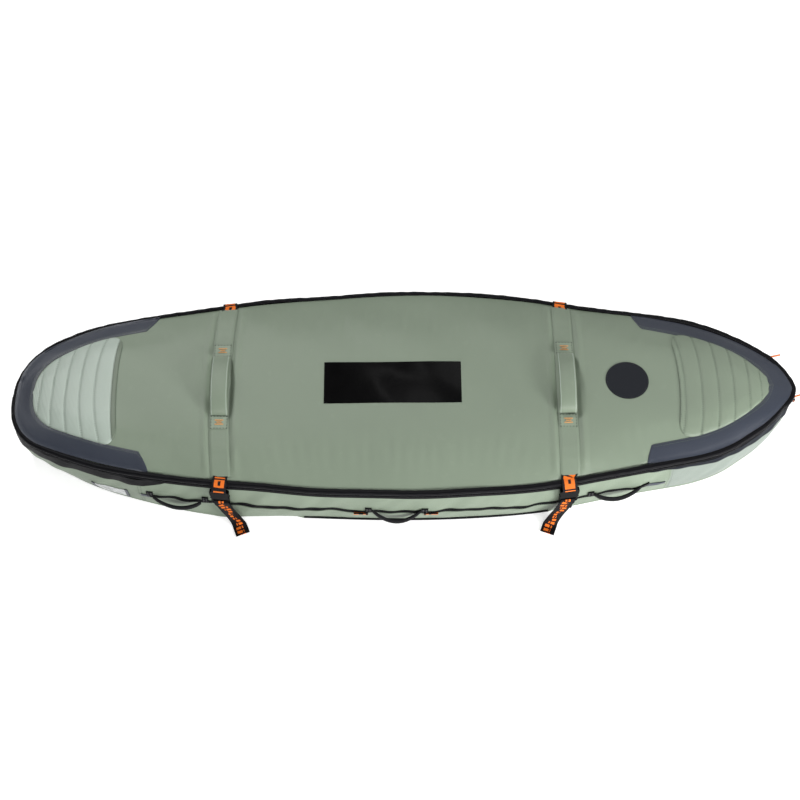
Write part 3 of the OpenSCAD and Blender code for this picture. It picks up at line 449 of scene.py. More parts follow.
def end_line(shape, step=0.002):
    """Points [x, y, heading] from the widest place to the end."""
    out = []
    for centre, r, h0, h1 in end_arcs(*shape):
        for h in np.linspace(h0, h1, max(3, int(r * (h1 - h0) / step)), endpoint=False):
            out.append((centre[0] + r * math.sin(h), centre[1] + r * math.cos(h), h))
    out.append((shape[1], 0.0, PI / 2))
    return np.array(out)


class Rim:
    """The rim's line, from the tail along the near side to the nose and back along the far side."""

    def __init__(self):
        nose, tail = end_line(NOSE_SHAPE), end_line(TAIL_SHAPE)[::-1]
        x = np.concatenate([WIDEST_X - tail[:, 0], WIDEST_X + nose[1:, 0]])
        y = np.concatenate([tail[:, 1], nose[1:, 1]])
        nx = np.concatenate([-np.sin(tail[:, 2]), np.sin(nose[1:, 2])])
        ny = np.concatenate([np.cos(tail[:, 2]), np.cos(nose[1:, 2])])
        self.half = np.array([x, y, nx, ny])
        near, far = self.half * [[1], [-1], [1], [-1]], self.half[:, -2::-1]
        self.line = np.concatenate([near, far], axis=1)
        self.s = np.concatenate([[0], np.cumsum(np.hypot(*np.diff(self.line[:2], axis=1)))])
        self.length = self.s[-1]
        self.half_s = self.s[: len(x)]
        k = int(np.argmax(y))
        self.crossing = {"tail": float(np.interp(HINGE_Y, y[: k + 1], x[: k + 1])),
                         "nose": float(np.interp(HINGE_Y, y[k:][::-1], x[k:][::-1]))}

    def near(self, x):
        """The distance along the rim at which the near side passes x."""
        return float(np.interp(x, self.half[0], self.half_s))

    def far(self, x):
        """The distance along the rim at which the far side passes x."""
        return self.length - self.near(x)

    def at(self, s):
        """[x, y, nx, ny] at distances s along the rim."""
        return np.array([np.interp(np.mod(s, self.length), self.s, row) for row in self.line])

    def width(self, x, inset=0.0):
        """Half width at x of the line that lies inset inside the rim."""
        xs, ys = self.half[0] - inset * self.half[2], self.half[1] - inset * self.half[3]
        keep = ys > 0
        return np.interp(x, xs[keep], ys[keep], left=0.0, right=0.0)


RIM = Rim()
NOSE_TIP = RIM.length / 2
DECK_ENDS = (-1.030, 1.030)


def ripple(s, spans, seed):
    """A smooth wave of mixed lengths, about -1 to 1."""
    phase = np.random.default_rng(seed).random(len(spans))
    return sum(np.sin(2 * PI * (s / span + p)) for span, p in zip(spans, phase)) / math.sqrt(len(spans))


def near_place(s, where, reach):
    """1 at a distance along the rim, falling to 0 about reach away."""
    gap = np.abs(np.mod(s - where + RIM.length / 2, RIM.length) - RIM.length / 2)
    return np.exp(-(gap / reach) ** 2)


def calm(s):
    """0 where hardware sits on the rim, 1 elsewhere."""
    still = near_place(s, NOSE_TIP, 0.30)
    for x in STRAP_X.values():
        still = np.maximum(still, near_place(s, RIM.near(x), 0.06))
        still = np.maximum(still, near_place(s, RIM.far(x), 0.05))
    return 1 - still


def rim_shift(s):
    """How far the soft rim wanders outwards at s."""
    return sizes().rim_wave * ripple(s, (0.29, 0.43, 0.71), 3) * calm(s)


def rim_lift(s):
    """How far the soft rim wanders upwards at s."""
    return 0.6 * sizes().rim_wave * ripple(s, (0.27, 0.39, 0.63), 8) * calm(s)


def slump(s):
    """How far the near wall's foot spreads behind the tail strap; it tucks in at the tail's corner."""
    return 0.020 * near_place(s, RIM.near(-0.50), 0.19) - 0.022 * near_place(s, RIM.near(-0.985), 0.13)


def bell(x, middle, reach):
    """1 at the middle, falling to 0 about reach away."""
    return np.exp(-((x - middle) / reach) ** 2)


def askew(points):
    """The soft bag lies a little askew: its tail is turned, and its long sides are pulled in or out.
    The pull fades outside the rim, and soonest at the buckles."""
    x, y = points[..., 0], points[..., 1]
    share = np.clip((-0.80 - x) / 0.24, 0, 1)
    share = share * share * (3 - 2 * share)
    moved = np.array(points)
    moved[..., 0] += share * (0.042 * y + 0.004 * bell(y, 0, 0.05) - 0.012 * bell(y, -0.17, 0.09))
    moved[..., 1] -= share * 0.0045
    near = 0.0065 * bell(x, -0.37, 0.20) + 0.0120 * bell(x, 0.60, 0.16) + 0.0020 * bell(x, 0.05, 0.25)
    near = near + 0.0200 * bell(x, 1.01, 0.06) + 0.0065 * bell(x, 0.91, 0.04)
    far = 0.0060 * bell(x, -0.60, 0.15) - 0.0075 * bell(x, 0.05, 0.20) + 0.0110 * bell(x, 0.50, 0.12)
    w = np.maximum(RIM.width(x), 0.08)
    held = np.where(y < 0, np.maximum(bell(x, STRAP_X["tail"], 0.05), bell(x, STRAP_X["nose"], 0.05)), 0)
    fade = np.clip(1 - (np.abs(y) - w) / (0.032 - 0.026 * held), 0, 1)
    moved[..., 1] += np.where(y < 0, near, -far) * np.minimum(np.abs(y) / w, 1) ** 2 * fade
    return moved


def foot_lean(nx):
    """How far the wall's foot stands in from the rim, more towards the ends."""
    return SIDE_LEAN + END_LEAN * np.abs(nx) ** 1.5


def wall_n(nx, z):
    """How far out the plain wall's face lies from the rim at height z."""
    u = np.clip((z - BASE_T) / (LOWER_TAPE_Z - BASE_T), 0, 1)
    return -RIM_SET - foot_lean(nx) * (1 - u) ** 2 + WALL_BOW * 4 * u * (1 - u)


def swell(x):
    """The crown's share at x, full over the middle and falling to each end."""
    inside = np.minimum(RIM.width(x, BINDING_W), np.minimum(x - DECK_ENDS[0], DECK_ENDS[1] - x))
    f = np.clip(inside / (0.8 * HALF_W), 0, 1)
    return 1 - (1 - f) ** 2


def band_extra(x, y):
    """How much wider than its frame's the binding shows, most on the far side of the nose."""
    far = np.clip(y / 0.1, 0, 1)
    return (0.0070 * bell(x, 0.80, 0.20) - 0.0030) * far - 0.0005 * (1 - far) - 0.0035 * bell(x, -1.04, 0.10)


def deck_form(x, y):
    """The deck's height before it is sewn and filled."""
    w = np.maximum(RIM.width(x, BINDING_W) - band_extra(x, y), 0.001)
    share = np.clip(np.abs(y) / w, 0, 1)
    return RIM_Z - 0.001 + CROWN * swell(x) * (1 - share ** 3.2)


# ---- Meshes ----
def new_piece(name, verts, faces, material, uv=None, sharp=40):
    """A piece from its points and faces, laid askew with the rest of the bag."""
    mesh = bpy.data.meshes.new(name)
    mesh.from_pydata(askew(np.asarray(verts, float)).tolist(), [], [tuple(map(int, f)) for f in faces])
    if uv is not None:
        layer = mesh.uv_layers.new(name="UVMap")
        loops = np.array([loop.vertex_index for loop in mesh.loops])
        layer.data.foreach_set("uv", np.asarray(uv, np.float32)[loops].ravel())
    mesh.shade_smooth()
    mesh.set_sharp_from_angle(angle=math.radians(sharp))
    piece = bpy.data.objects.new(name, mesh)
    bpy.context.scene.collection.objects.link(piece)
    for m in [material] if isinstance(material, str) else material:
        mesh.materials.append(finish_of(m))
    return piece


def volume_of(rings, closed):
    """Six times the signed volume that rings of points enclose."""
    rows = len(rings) if closed else len(rings) - 1
    a, b = rings[:rows], np.roll(rings, -1, axis=0)[:rows]
    a2, b2 = np.roll(a, -1, axis=1), np.roll(b, -1, axis=1)
    total = np.sum(np.cross(a, a2) * b2) + np.sum(np.cross(a, b2) * b)
    if not closed:
        for ring, sign in ((rings[0], -1), (rings[-1], 1)):
            n = len(ring)
            for j in range(n // 2 - 1):
                p, q, r, t = ring[j], ring[j + 1], ring[n - 2 - j], ring[n - 1 - j]
                total += sign * (np.dot(np.cross(p, q), r) + np.dot(np.cross(p, r), t))
    return total


def loft(name, rings, material, closed=False, sharp=40, lined=None):
    """A closed solid from rings; a ring runs along one face and back along the other.
    lined gives the columns of quads that take the second material."""
    rings = np.asarray(rings, float)
    if volume_of(rings, closed) < 0:
        rings = rings[::-1]
    m, n = rings.shape[:2]
    run = np.linalg.norm(np.diff(rings, axis=0), axis=2).mean(axis=1)
    u = np.concatenate([[0], np.cumsum(run)])
    v = np.concatenate([[0], np.cumsum(np.linalg.norm(np.diff(rings, axis=1), axis=2).mean(axis=0))])
    uv = np.stack(np.meshgrid(u, v, indexing="ij"), axis=-1).reshape(-1, 2)
    faces = []
    inside = []
    for i in range(m if closed else m - 1):
        for j in range(n):
            i2, j2 = (i + 1) % m, (j + 1) % n
            faces.append((i * n + j, i * n + j2, i2 * n + j2, i2 * n + j))
            inside.append(1 if lined and lined[0] <= j < lined[1] else 0)
    if not closed:
        for j in range(n // 2 - 1):
            a, b, c, d = j, j + 1, n - 2 - j, n - 1 - j
            end = (m - 1) * n
            faces += [(d, c, b, a), (end + a, end + b, end + c, end + d)]
            inside += [0, 0]
    piece = new_piece(name, rings.reshape(-1, 3), faces, material, uv, sharp)
    if lined:
        piece.data.polygons.foreach_set("material_index", inside)
    return piece


def swept(s, profile, shift=True):
    """Rings along the rim: profile(station, s) gives columns of [n, z]."""
    x, y, nx, ny = RIM.at(s)
    n, z = profile(nx, s)
    if shift:
        n = n + rim_shift(s)
        z = z + rim_lift(s) * np.clip(z / RIM_Z * 1.4 - 0.4, 0, 1)
    points = np.stack([x + n * nx, y + n * ny, np.broadcast_to(z, n.shape)], axis=-1)
    return points.transpose(1, 0, 2)


def stations(s0, s1, step):
    """Even distances along the rim, about a step apart."""
    return np.linspace(s0, s1, max(3, int(abs(s1 - s0) / step)))


def ribbon(name, centre, across, material, samples=90):
    """Flat webbing along a smooth line; across gives its width's direction at each point."""
    centre = smooth_line(np.asarray(centre, float), samples)
    across = smooth_line(np.asarray(across, float), samples)
    along = np.gradient(centre, axis=0)
    along /= np.linalg.norm(along, axis=1)[:, None]
    across -= np.sum(across * along, axis=1)[:, None] * along
    across /= np.linalg.norm(across, axis=1)[:, None]
    up = np.cross(along, across)
    w, t = WEB_W / 2, WEB_T / 2
    edge = [(-w, -t), (-w * 0.5, -t), (0, -t), (w * 0.5, -t), (w, -t),
            (w, t), (w * 0.5, t), (0, t), (-w * 0.5, t), (-w, t)]
    rings = np.stack([centre + a * across + b * up for a, b in edge], axis=1)
    piece = loft(name, rings, material)
    layer = piece.data.uv_layers[0]
    loops = np.array([loop.vertex_index for loop in piece.data.loops])
    run = np.concatenate([[0], np.cumsum(np.linalg.norm(np.diff(centre, axis=0), axis=1))])
    u = np.repeat(run if volume_of(rings, False) >= 0 else run[::-1], len(edge))
    v = np.tile([a + w for a, b in edge], samples)
    layer.data.foreach_set("uv", np.stack([u, v], axis=-1)[loops].astype(np.float32).ravel())
    return piece


def smooth_line(points, samples):
    """A rounded line through points (Catmull-Rom), evenly spread."""
    p = np.vstack([2 * points[0] - points[1], points, 2 * points[-1] - points[-2]])
    fine = []
    for i in range(1, len(p) - 2):
        for t in np.linspace(0, 1, 24, endpoint=False):
            a, b, c, d = p[i - 1 : i + 3]
            fine.append(0.5 * (2 * b + (c - a) * t + (2 * a - 5 * b + 4 * c - d) * t * t
                               + (3 * b - a - 3 * c + d) * t ** 3))
    fine = np.array(fine + [points[-1]])
    run = np.concatenate([[0], np.cumsum(np.linalg.norm(np.diff(fine, axis=0), axis=1))])
    want = np.linspace(0, run[-1], samples)
    return np.stack([np.interp(want, run, fine[:, k]) for k in range(fine.shape[1])], axis=1)


def hinge_blend(piece):
    """Bakes the place of a piece that crosses the hinge into its mesh."""
    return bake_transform(piece)


# ---- Rows of stitches and zip teeth ----
def row_tree(name, material):
    """Geometry nodes: small rounded lumps along every line, turned to it and to the cloth."""
    tree = bpy.data.node_groups.new(name, "GeometryNodeTree")
    add = tree.interface.new_socket
    add(name="Geometry", in_out="INPUT", socket_type="NodeSocketGeometry")
    for label in ("Pitch", "Length", "Width", "Height"):
        add(name=label, in_out="INPUT", socket_type="NodeSocketFloat")
    add(name="Geometry", in_out="OUTPUT", socket_type="NodeSocketGeometry")

    def node(kind, settings=None, links=None):
        made = tree.nodes.new(kind)
        for key, value in (settings or {}).items():
            setattr(made, key, value)
        for key, value in (links or {}).items():
            if isinstance(value, bpy.types.NodeSocket):
                tree.links.new(value, made.inputs[key])
            else:
                made.inputs[key].default_value = value
        return made

    given = node("NodeGroupInput").outputs
    curve = node("GeometryNodeMeshToCurve", {}, {"Mesh": given["Geometry"]})
    spaced = node("GeometryNodeResampleCurve", {"mode": "LENGTH"},
                  {"Curve": curve.outputs[0], "Length": given["Pitch"]})
    lump = node("GeometryNodeMeshUVSphere", {}, {"Segments": 6, "Rings": 4, "Radius": 0.5})
    size = node("ShaderNodeCombineXYZ", {}, {0: given["Length"], 1: given["Width"], 2: given["Height"]})
    shaped = node("GeometryNodeTransform", {}, {"Geometry": lump.outputs[0], "Scale": size.outputs[0]})
    tangent = node("GeometryNodeInputTangent")
    up = node("GeometryNodeInputNamedAttribute", {"data_type": "FLOAT_VECTOR"}, {"Name": "up"})
    turn = node("FunctionNodeAlignRotationToVector", {"axis": "X"}, {"Vector": tangent.outputs[0]})
    rise = node("FunctionNodeAlignRotationToVector", {"axis": "Z", "pivot_axis": "X"},
                {"Rotation": turn.outputs[0], "Vector": up.outputs[0]})
    spread = node("GeometryNodeInstanceOnPoints", {},
                  {"Points": spaced.outputs[0], "Instance": shaped.outputs[0], "Rotation": rise.outputs[0]})
    real = node("GeometryNodeRealizeInstances", {}, {0: spread.outputs[0]})
    painted = node("GeometryNodeSetMaterial", {},
                   {"Geometry": real.outputs[0], "Material": finish_of(material)})
    node("NodeGroupOutput", {}, {0: painted.outputs[0]})
    return tree


def row_of(name, lines, material, pitch, length, width, height):
    """One piece from lines, each a pair: its points and the way up at each."""
    verts, ups, edges = [], [], []
    for points, up in lines:
        first = len(verts)
        verts += askew(np.asarray(points, float)).tolist()
        ups += [tuple(map(float, u)) for u in np.broadcast_to(up, np.shape(points))]
        edges += [(first + i, first + i + 1) for i in range(len(points) - 1)]
    mesh = bpy.data.meshes.new(name + "_line")
    mesh.from_pydata(verts, edges, [])
    attribute = mesh.attributes.new("up", "FLOAT_VECTOR", "POINT")
    attribute.data.foreach_set("vector", np.array(ups, np.float32).ravel())
    carrier = bpy.data.objects.new(name + "_line", mesh)
    bpy.context.scene.collection.objects.link(carrier)
    tree = row_tree(name + "_row", material)
    modifier = carrier.modifiers.new("row", "NODES")
    modifier.node_group = tree
    values = {"Pitch": pitch, "Length": length, "Width": width, "Height": height}
    for item in tree.interface.items_tree:
        if item.in_out == "INPUT" and item.name in values:
            modifier[item.identifier] = values[item.name]
    bpy.context.view_layer.update()
    made = bpy.data.meshes.new_from_object(carrier.evaluated_get(bpy.context.evaluated_depsgraph_get()))
    bpy.data.objects.remove(carrier)
    made.name = name
    piece = bpy.data.objects.new(name, made)
    bpy.context.scene.collection.objects.link(piece)
    made.shade_smooth()
    return piece


def stitches(name, lines, material="seam_thread", scale=1.0):
    """Rows of sewing stitches along lines."""
    p, w = sizes().stitch_pitch * scale, sizes().thread_w * scale
    return row_of(name, lines, material, pitch=p, length=p * 0.72, width=w, height=w * 0.8)


# ---- Bottom, walls and rim ----
# The zip runs from the hinge's tail end round the tail, the near side and the nose to its nose end
ZIP_FROM = -RIM.near(RIM.crossing["tail"])
ZIP_TO = RIM.length - RIM.near(RIM.crossing["nose"])
WALL_TOP = 0.1435
SEAM_HALF_GAP = 0.004
# Where the near side's black piping fades in and out
PIPED_X, PIPED_FADE = (-0.29, 0.405), 0.02


def wall_face(nx, s, z):
    """How far out the soft wall's face lies at height z."""
    u = np.clip((z - BASE_T) / (RIM_Z - BASE_T), 0, 1)
    pressed = 1 - 0.9 * np.maximum(near_place(s, RIM.near(STRAP_X["tail"]), 0.05),
                                   near_place(s, RIM.near(STRAP_X["nose"]), 0.05))
    spread = slump(s) * (1 - u) ** 2.4 * (1 - (1 - pressed) * np.clip(4 * u, 0, 1))
    fold = 0.7 * ripple(s + 0.35 * z, (0.11, 0.19, 0.33), 21)
    fold = fold + 0.5 * ripple(s - 0.7 * z, (0.06, 0.09, 0.14), 22)
    fold = sizes().wall_fold * fold * pressed * 4 * u * (1 - u)
    return wall_n(nx, z) + spread + rim_shift(s) * u + fold


def wall_cover(name, s0, s1, top, finish="sage_cloth"):
    """One panel of the wall: soft cloth up to the zip tape, upright behind it."""
    zs = np.concatenate([np.linspace(BASE_T, LOWER_TAPE_Z, 20), [(LOWER_TAPE_Z + top) / 2, top]])[:, None]

    def profile(nx, s):
        behind_zip = rim_shift(s) - RIM_SET
        n = np.vstack([wall_face(nx, s, z) if z < LOWER_TAPE_Z + 1e-6 else behind_zip for z in zs[:, 0]])
        return np.vstack([n, n[::-1] - WALL_T]), np.vstack([zs, zs[::-1]])

    rings = swept(stations(s0, s1, 0.009), profile, shift=False)
    piece = loft(name + "_cover", rings, (finish, "lining"), lined=(len(zs), 2 * len(zs) - 1))
    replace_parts(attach(piece, "shell"), name)


def wall_sheet(name, material, s0, s1, z0, z1, lift, thick, rows=8, crumple=0.0, wander=None, tall=None):
    """A sheet of cloth or film on the wall's outer face. wander gives its shift in height at s,
    and tall its share of the full height, measured from its top."""
    level = np.linspace(z0, z1, rows + 1)[:, None]

    def profile(nx, s):
        zs = z1 - (z1 - level) * (tall(s) if tall else 1.0) + (wander(s) if wander else 0 * s)
        n = np.vstack([wall_face(nx, s, z) for z in zs]) + lift
        if crumple:
            folds = ripple(s + 1.3 * zs, (0.021, 0.034, 0.057), 31)
            folds = folds + ripple(s - 0.8 * zs, (0.015, 0.026), 32)
            down, along = (np.sin(PI * np.linspace(0, 1, count)) for count in (rows + 1, len(s)))
            n = n + crumple * (1 + folds) * np.sqrt(np.abs(down[:, None] * along))
        return np.vstack([n + thick, n[::-1]]), np.vstack([zs, zs[::-1]])

    piece = loft(name, swept(stations(s0, s1, 0.005), profile, shift=False), material)
    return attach(piece, "shell")


def rim_run(s, n, z):
    """A line along the wandering rim, n outside its line at height z."""
    level = [np.broadcast_to(v, (1, len(s))) for v in (n, z)]
    return swept(s, lambda nx, q: level)[:, 0]


def out_at(s):
    """The way out from the rim at s."""
    nx, ny = RIM.at(s)[2:]
    return np.stack([nx, ny, 0 * nx], axis=1)


def wall_line(s, z, lift=0.0004):
    """A line on the wall's face."""
    z = np.broadcast_to(z, np.shape(s))
    x, y, nx, ny = RIM.at(s)
    n = wall_face(nx, s, z) + lift
    return np.stack([x + n * nx, y + n * ny, z], axis=1), out_at(s)


# The bottom cloth's height over the ground
BASE_LIFT = 0.0006


def build_shell():
    """The four wall panels, the bottom with its piping and the wall's seams."""
    near0, near1 = RIM.near(SEAM_X["tail"]), RIM.near(SEAM_X["nose"])
    wall_cover("tail_wall", ZIP_FROM, near0, WALL_TOP)
    wall_cover("near_wall", near0, near1, WALL_TOP)
    # The nose wall takes the paler copy of the wall cloth: painted light on that end
    wall_cover("nose_wall", near1, ZIP_TO, WALL_TOP, "wall_cloth")
    wall_cover("far_wall", ZIP_TO, RIM.length + ZIP_FROM, BINDING_Z)
    s = stations(0.004, RIM.length / 2 - 0.004, 0.012)
    rows = []
    for side in (s, RIM.length - s):
        x, y, nx, ny = RIM.at(side)
        n = wall_n(nx, BASE_T) + slump(side) - 0.0010
        rows.append(np.stack([x + n * nx, y + n * ny], axis=-1))
    f = np.linspace(0, 1, 9)[None, :, None]
    flat = rows[0][:, None] * (1 - f) + rows[1][:, None] * f
    ground = np.concatenate([flat, np.full((*flat.shape[:2], 1), BASE_LIFT)], axis=-1)
    rings = np.concatenate([ground + [0, 0, BASE_T - BASE_LIFT], ground[:, ::-1]], axis=1)
    base = loft("base_cover", rings, ("slate_cloth", "lining"), lined=(0, 8))
    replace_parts(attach(base, "shell"), "base_panel")

    def piping(nx, s):
        a = np.linspace(0.15, 1.85, 9)[:, None] * PI
        x, y = RIM.at(s)[:2]
        full = np.clip(np.minimum(x - PIPED_X[0], PIPED_X[1] - x) / PIPED_FADE, 0, 1) * (y < 0)
        n0 = wall_n(nx, BASE_T) + slump(s) - 0.0012
        bulge = 0.0010 + 0.0037 * full
        n = n0 + bulge - (0.0012 + 0.0021 * full) * np.cos(a)
        return n, 0.0051 - 0.0042 * np.sin(a) * np.ones_like(nx)

    s = stations(0, RIM.length, 0.010)[:-1]
    ring = loft("base_piping", swept(s, piping, shift=False), ("sage_cloth", "edge_binding"), closed=True)
    x, y = np.array([p.center[:2] for p in ring.data.polygons]).T
    dark = (y < 0) & (x > PIPED_X[0] + PIPED_FADE) & (x < PIPED_X[1] - PIPED_FADE)
    ring.data.polygons.foreach_set("material_index", dark.astype(int))
    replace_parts(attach(ring, "shell"), "base_binding")
    seams = []
    z = np.linspace(0.014, LOWER_TAPE_Z - 0.002, 30)
    for x in SEAM_X.values():
        for off in (-SEAM_HALF_GAP, SEAM_HALF_GAP):
            seams.append(wall_line(np.full(len(z), RIM.near(x) + off), z))
    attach(stitches("wall_seam_stitches", seams), "shell")


# The binding's section: places [outside the rim, height] round it, from its outer lower edge
BINDING_SECTION = (
    (-0.0005, BINDING_Z), (0.0006, BINDING_Z + 0.004), (0.0003, RIM_Z - 0.003), (-0.0015, RIM_Z - 0.0006),
    (-0.004, RIM_Z + 0.0006), (-0.008, RIM_Z + 0.0009), (-0.012, RIM_Z + 0.0003), (-0.0142, RIM_Z - 0.0016),
    (-0.0135, BINDING_Z + 0.002), (-0.012, BINDING_Z))
CHAIN_HALF_GAP = 0.0008


def binding(nx, s):
    """The rim binding's profile; its inner edge moves where it shows wider or narrower."""
    pucker = 0.0004 * ripple(s, (0.031, 0.047, 0.083), 41)
    wide = band_extra(*RIM.at(s)[:2])
    reach = [min(1.0, max(0.0, (-0.004 - n) / 0.008)) for n, z in BINDING_SECTION]
    return (np.array([n + pucker - wide * r for (n, z), r in zip(BINDING_SECTION, reach)]),
            np.array([z + 0.5 * pucker for n, z in BINDING_SECTION]))


def tape(z0, z1):
    """The profile of a zip tape between two heights."""
    def profile(nx, s):
        n = np.array([-0.0045, -0.003, -0.003, -0.003, -0.0045, -0.0045])[:, None] + 0 * nx
        z = np.array([z0, z0, (z0 + z1) / 2, z1, z1, (z0 + z1) / 2])[:, None]
        return n, z
    return profile


def chain(name, s, z):
    """The teeth of one half of the main zip, at height z."""
    line = (rim_run(s, -0.0024, z), out_at(s))
    pitch = sizes().tooth_pitch
    return row_of(name, [line], "zip_coil", pitch, length=0.0019, width=0.0052, height=0.0022)


def build_rim():
    """The rim binding, and the main zip's tapes and teeth."""
    s = stations(0, RIM.length, 0.006)[:-1]
    ring = loft("rim_binding", swept(s, binding), "edge_binding", closed=True)
    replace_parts(hinge_blend(ring), "deck_binding", "margin_binding")
    s = stations(ZIP_FROM, ZIP_TO, 0.008)
    lower = loft("lower_zip_cloth", swept(s, tape(LOWER_TAPE_Z, LOWER_TAPE_TOP)), "tape_cloth")
    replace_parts(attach(lower, "shell"), "lower_zip_tape")
    upper = loft("upper_zip_cloth", swept(s, tape(UPPER_TAPE_Z, BINDING_Z + 0.001)), "tape_cloth")
    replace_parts(hinge_blend(upper), "upper_zip_tape")
    s = stations(ZIP_FROM + 0.002, ZIP_TO - 0.002, 0.01)
    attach(chain("lower_chain", s, CHAIN_Z - CHAIN_HALF_GAP), "shell")
    hinge_blend(chain("upper_chain", s + sizes().tooth_pitch / 2, CHAIN_Z + CHAIN_HALF_GAP))
    s = stations(0, RIM.length, 0.01)
    rows = [(rim_run(s, -0.0118, RIM_Z + 0.0008), UP),
            (rim_run(s, 0.0006, BINDING_Z + 0.003), out_at(s))]
    hinge_blend(stitches("binding_stitches", rows, "dark_thread"))


# ---- Deck ----
def deck_relief(x, y):
    """Puckers along the sewn edge and the long soft waves of the padding."""
    w = RIM.width(x, BINDING_W)
    edge = np.maximum(w - np.abs(y), 0)
    far_wave = 0.5 * ripple(x, (0.034, 0.055, 0.087), 5)
    wave = np.where(y > 0, far_wave, ripple(x + 0.1 * y, (0.041, 0.068, 0.11), 6))
    broad = ripple(0.8 * x + y, (0.31, 0.47, 0.23), 9)
    calm_end = np.clip((w - 0.10) / 0.08, 0, 1)
    relief = 0.0005 * wave * np.exp(-edge / 0.022) * np.clip(edge / 0.006, 0, 1)
    relief = relief + 0.0018 * broad * np.clip(edge / 0.08, 0, 1)
    for which in STRAP_X:
        aside = np.abs(x - tunnel_x(which, y)) - TUNNEL_W / 2
        crease = 1 + 0.35 * ripple(y, (0.09, 0.15, 0.27), 62)
        relief = relief + 0.0040 * crease * bell(aside, 0.0100, 0.0065) * np.clip(edge / 0.03, 0, 1)
    return relief * calm_end


def tunnel_x(which, y):
    """The middle of a strap's tunnel at y; the tail's is a little bowed."""
    if which == "tail":
        return STRAP_X["tail"] - 0.006 + 0.15 * y * y
    return STRAP_X["nose"] + 0.004 + 0 * y


def grid_faces(m, n):
    """The quads of a grid of m by n points."""
    return [(i * n + j, (i + 1) * n + j, (i + 1) * n + j + 1, i * n + j + 1)
            for i in range(m - 1) for j in range(n - 1)]


# How long the cloth swells, and how often its rows are averaged near the rim
SWELL_FRAMES, CALMING_PASSES = 20, 14


def inflate(top, pinned, cap):
    """Lets a sheet swell under pressure between its pinned places; returns each point's move."""
    mesh = bpy.data.meshes.new("swelling")
    mesh.from_pydata(top.reshape(-1, 3).tolist(), [], grid_faces(*top.shape[:2]))
    cloth_sheet = bpy.data.objects.new("swelling", mesh)
    scene = bpy.context.scene
    scene.collection.objects.link(cloth_sheet)
    cloth_sheet.vertex_groups.new(name="pin").add(np.flatnonzero(pinned.ravel()).tolist(), 1.0, "REPLACE")
    cloth = cloth_sheet.modifiers.new("cloth", "CLOTH")
    cloth.settings.quality = 6
    cloth.settings.vertex_group_mass = "pin"
    cloth.settings.effector_weights.gravity = 0
    cloth.settings.use_pressure = True
    cloth.settings.uniform_pressure_force = 4
    cloth.settings.shrink_min = -0.006
    cloth.settings.bending_stiffness = 2.0
    cloth.point_cache.frame_start, cloth.point_cache.frame_end = 1, SWELL_FRAMES
    for frame_no in range(1, SWELL_FRAMES + 1):
        scene.frame_set(frame_no)
    swollen = cloth_sheet.evaluated_get(bpy.context.evaluated_depsgraph_get()).to_mesh()
    points = np.empty(top.size, np.float32)
    swollen.vertices.foreach_get("co", points)
    move = points.reshape(top.shape) - top
    scene.frame_set(1)
    bpy.data.objects.remove(cloth_sheet)
    size = np.linalg.norm(move, axis=2, keepdims=True)
    return move * (cap * np.tanh(size / cap) / np.maximum(size, 1e-9))


def filled(top, x, y):
    """The deck's grid swollen between its rim and the tunnels, and calmer near its edge."""
    pinned = np.abs(y) > np.maximum(RIM.width(x, BINDING_W) - 0.003, 0)
    pinned[[0, -1]] = True
    for which in STRAP_X:
        pinned |= np.abs(x - tunnel_x(which, y)) < TUNNEL_W / 2 + 0.004
    move = inflate(top, pinned, sizes().puff)
    calmed = move.copy()
    for _ in range(CALMING_PASSES):
        calmed[1:-1] = (calmed[:-2] + 2 * calmed[1:-1] + calmed[2:]) / 4
    near_edge = np.clip(1.7 - (RIM.width(x, BINDING_W) - np.abs(y)) / 0.06, 0, 1)
    held = 0.88 * near_edge * np.clip((np.abs(x) - 0.58) / 0.08, 0, 1)
    move = move + (calmed - move) * (0.85 * near_edge)[..., None]
    return top + move * (1 - held)[..., None]


class Deck:
    """The deck's finished upper face, on which other pieces lie."""
    tree = None
    inset = 0.0125

    @classmethod
    def build(cls):
        """The padded panel, its upper face swollen and puckered."""
        s = stations(0.016, RIM.length / 2 - 0.012, 0.0075)
        x, y, nx, ny = RIM.at(s)
        x, w = x - cls.inset * nx, -(y - cls.inset * ny)
        keep = w > 0.004
        x, w = x[keep], w[keep]
        f = np.linspace(-1, 1, 65)
        gy = w[:, None] * f
        gx = np.repeat(x[:, None], len(f), axis=1)
        top = np.stack([gx, gy, deck_form(gx, gy)], axis=-1)
        top[:, [0, -1], 2] -= 0.0030
        top = filled(top, gx, gy)
        top[..., 2] += deck_relief(top[..., 0], top[..., 1])
        low = top.copy()
        low[..., 2] = np.minimum(low[..., 2], deck_form(gx, gy) + 0.004) - DECK_T
        rings = np.concatenate([top, low[:, ::-1]], axis=1)
        lined = (len(f), 2 * len(f) - 1)
        cover = loft("deck_cover", rings, ("sage_cloth", "lining"), lined=lined, sharp=60)
        cls.tree = BVHTree.FromPolygons(top.reshape(-1, 3).tolist(), grid_faces(*top.shape[:2]))
        hinge_blend(cover)
        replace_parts(cover, "deck_panel", "hinge_margin")

    @classmethod
    def height(cls, x, y):
        """The upper face's height at one place."""
        hit = cls.tree.ray_cast(Vector((float(x), float(y), 1.0)), Vector((0, 0, -1)))
        return hit[0].z if hit[0] is not None else float(deck_form(np.array([x]), np.array([y]))[0])

    @classmethod
    def heights(cls, xy):
        """The upper face's heights at an array of places."""
        shape = xy.shape[:-1]
        return np.array([cls.height(x, y) for x, y in xy.reshape(-1, 2)]).reshape(shape)


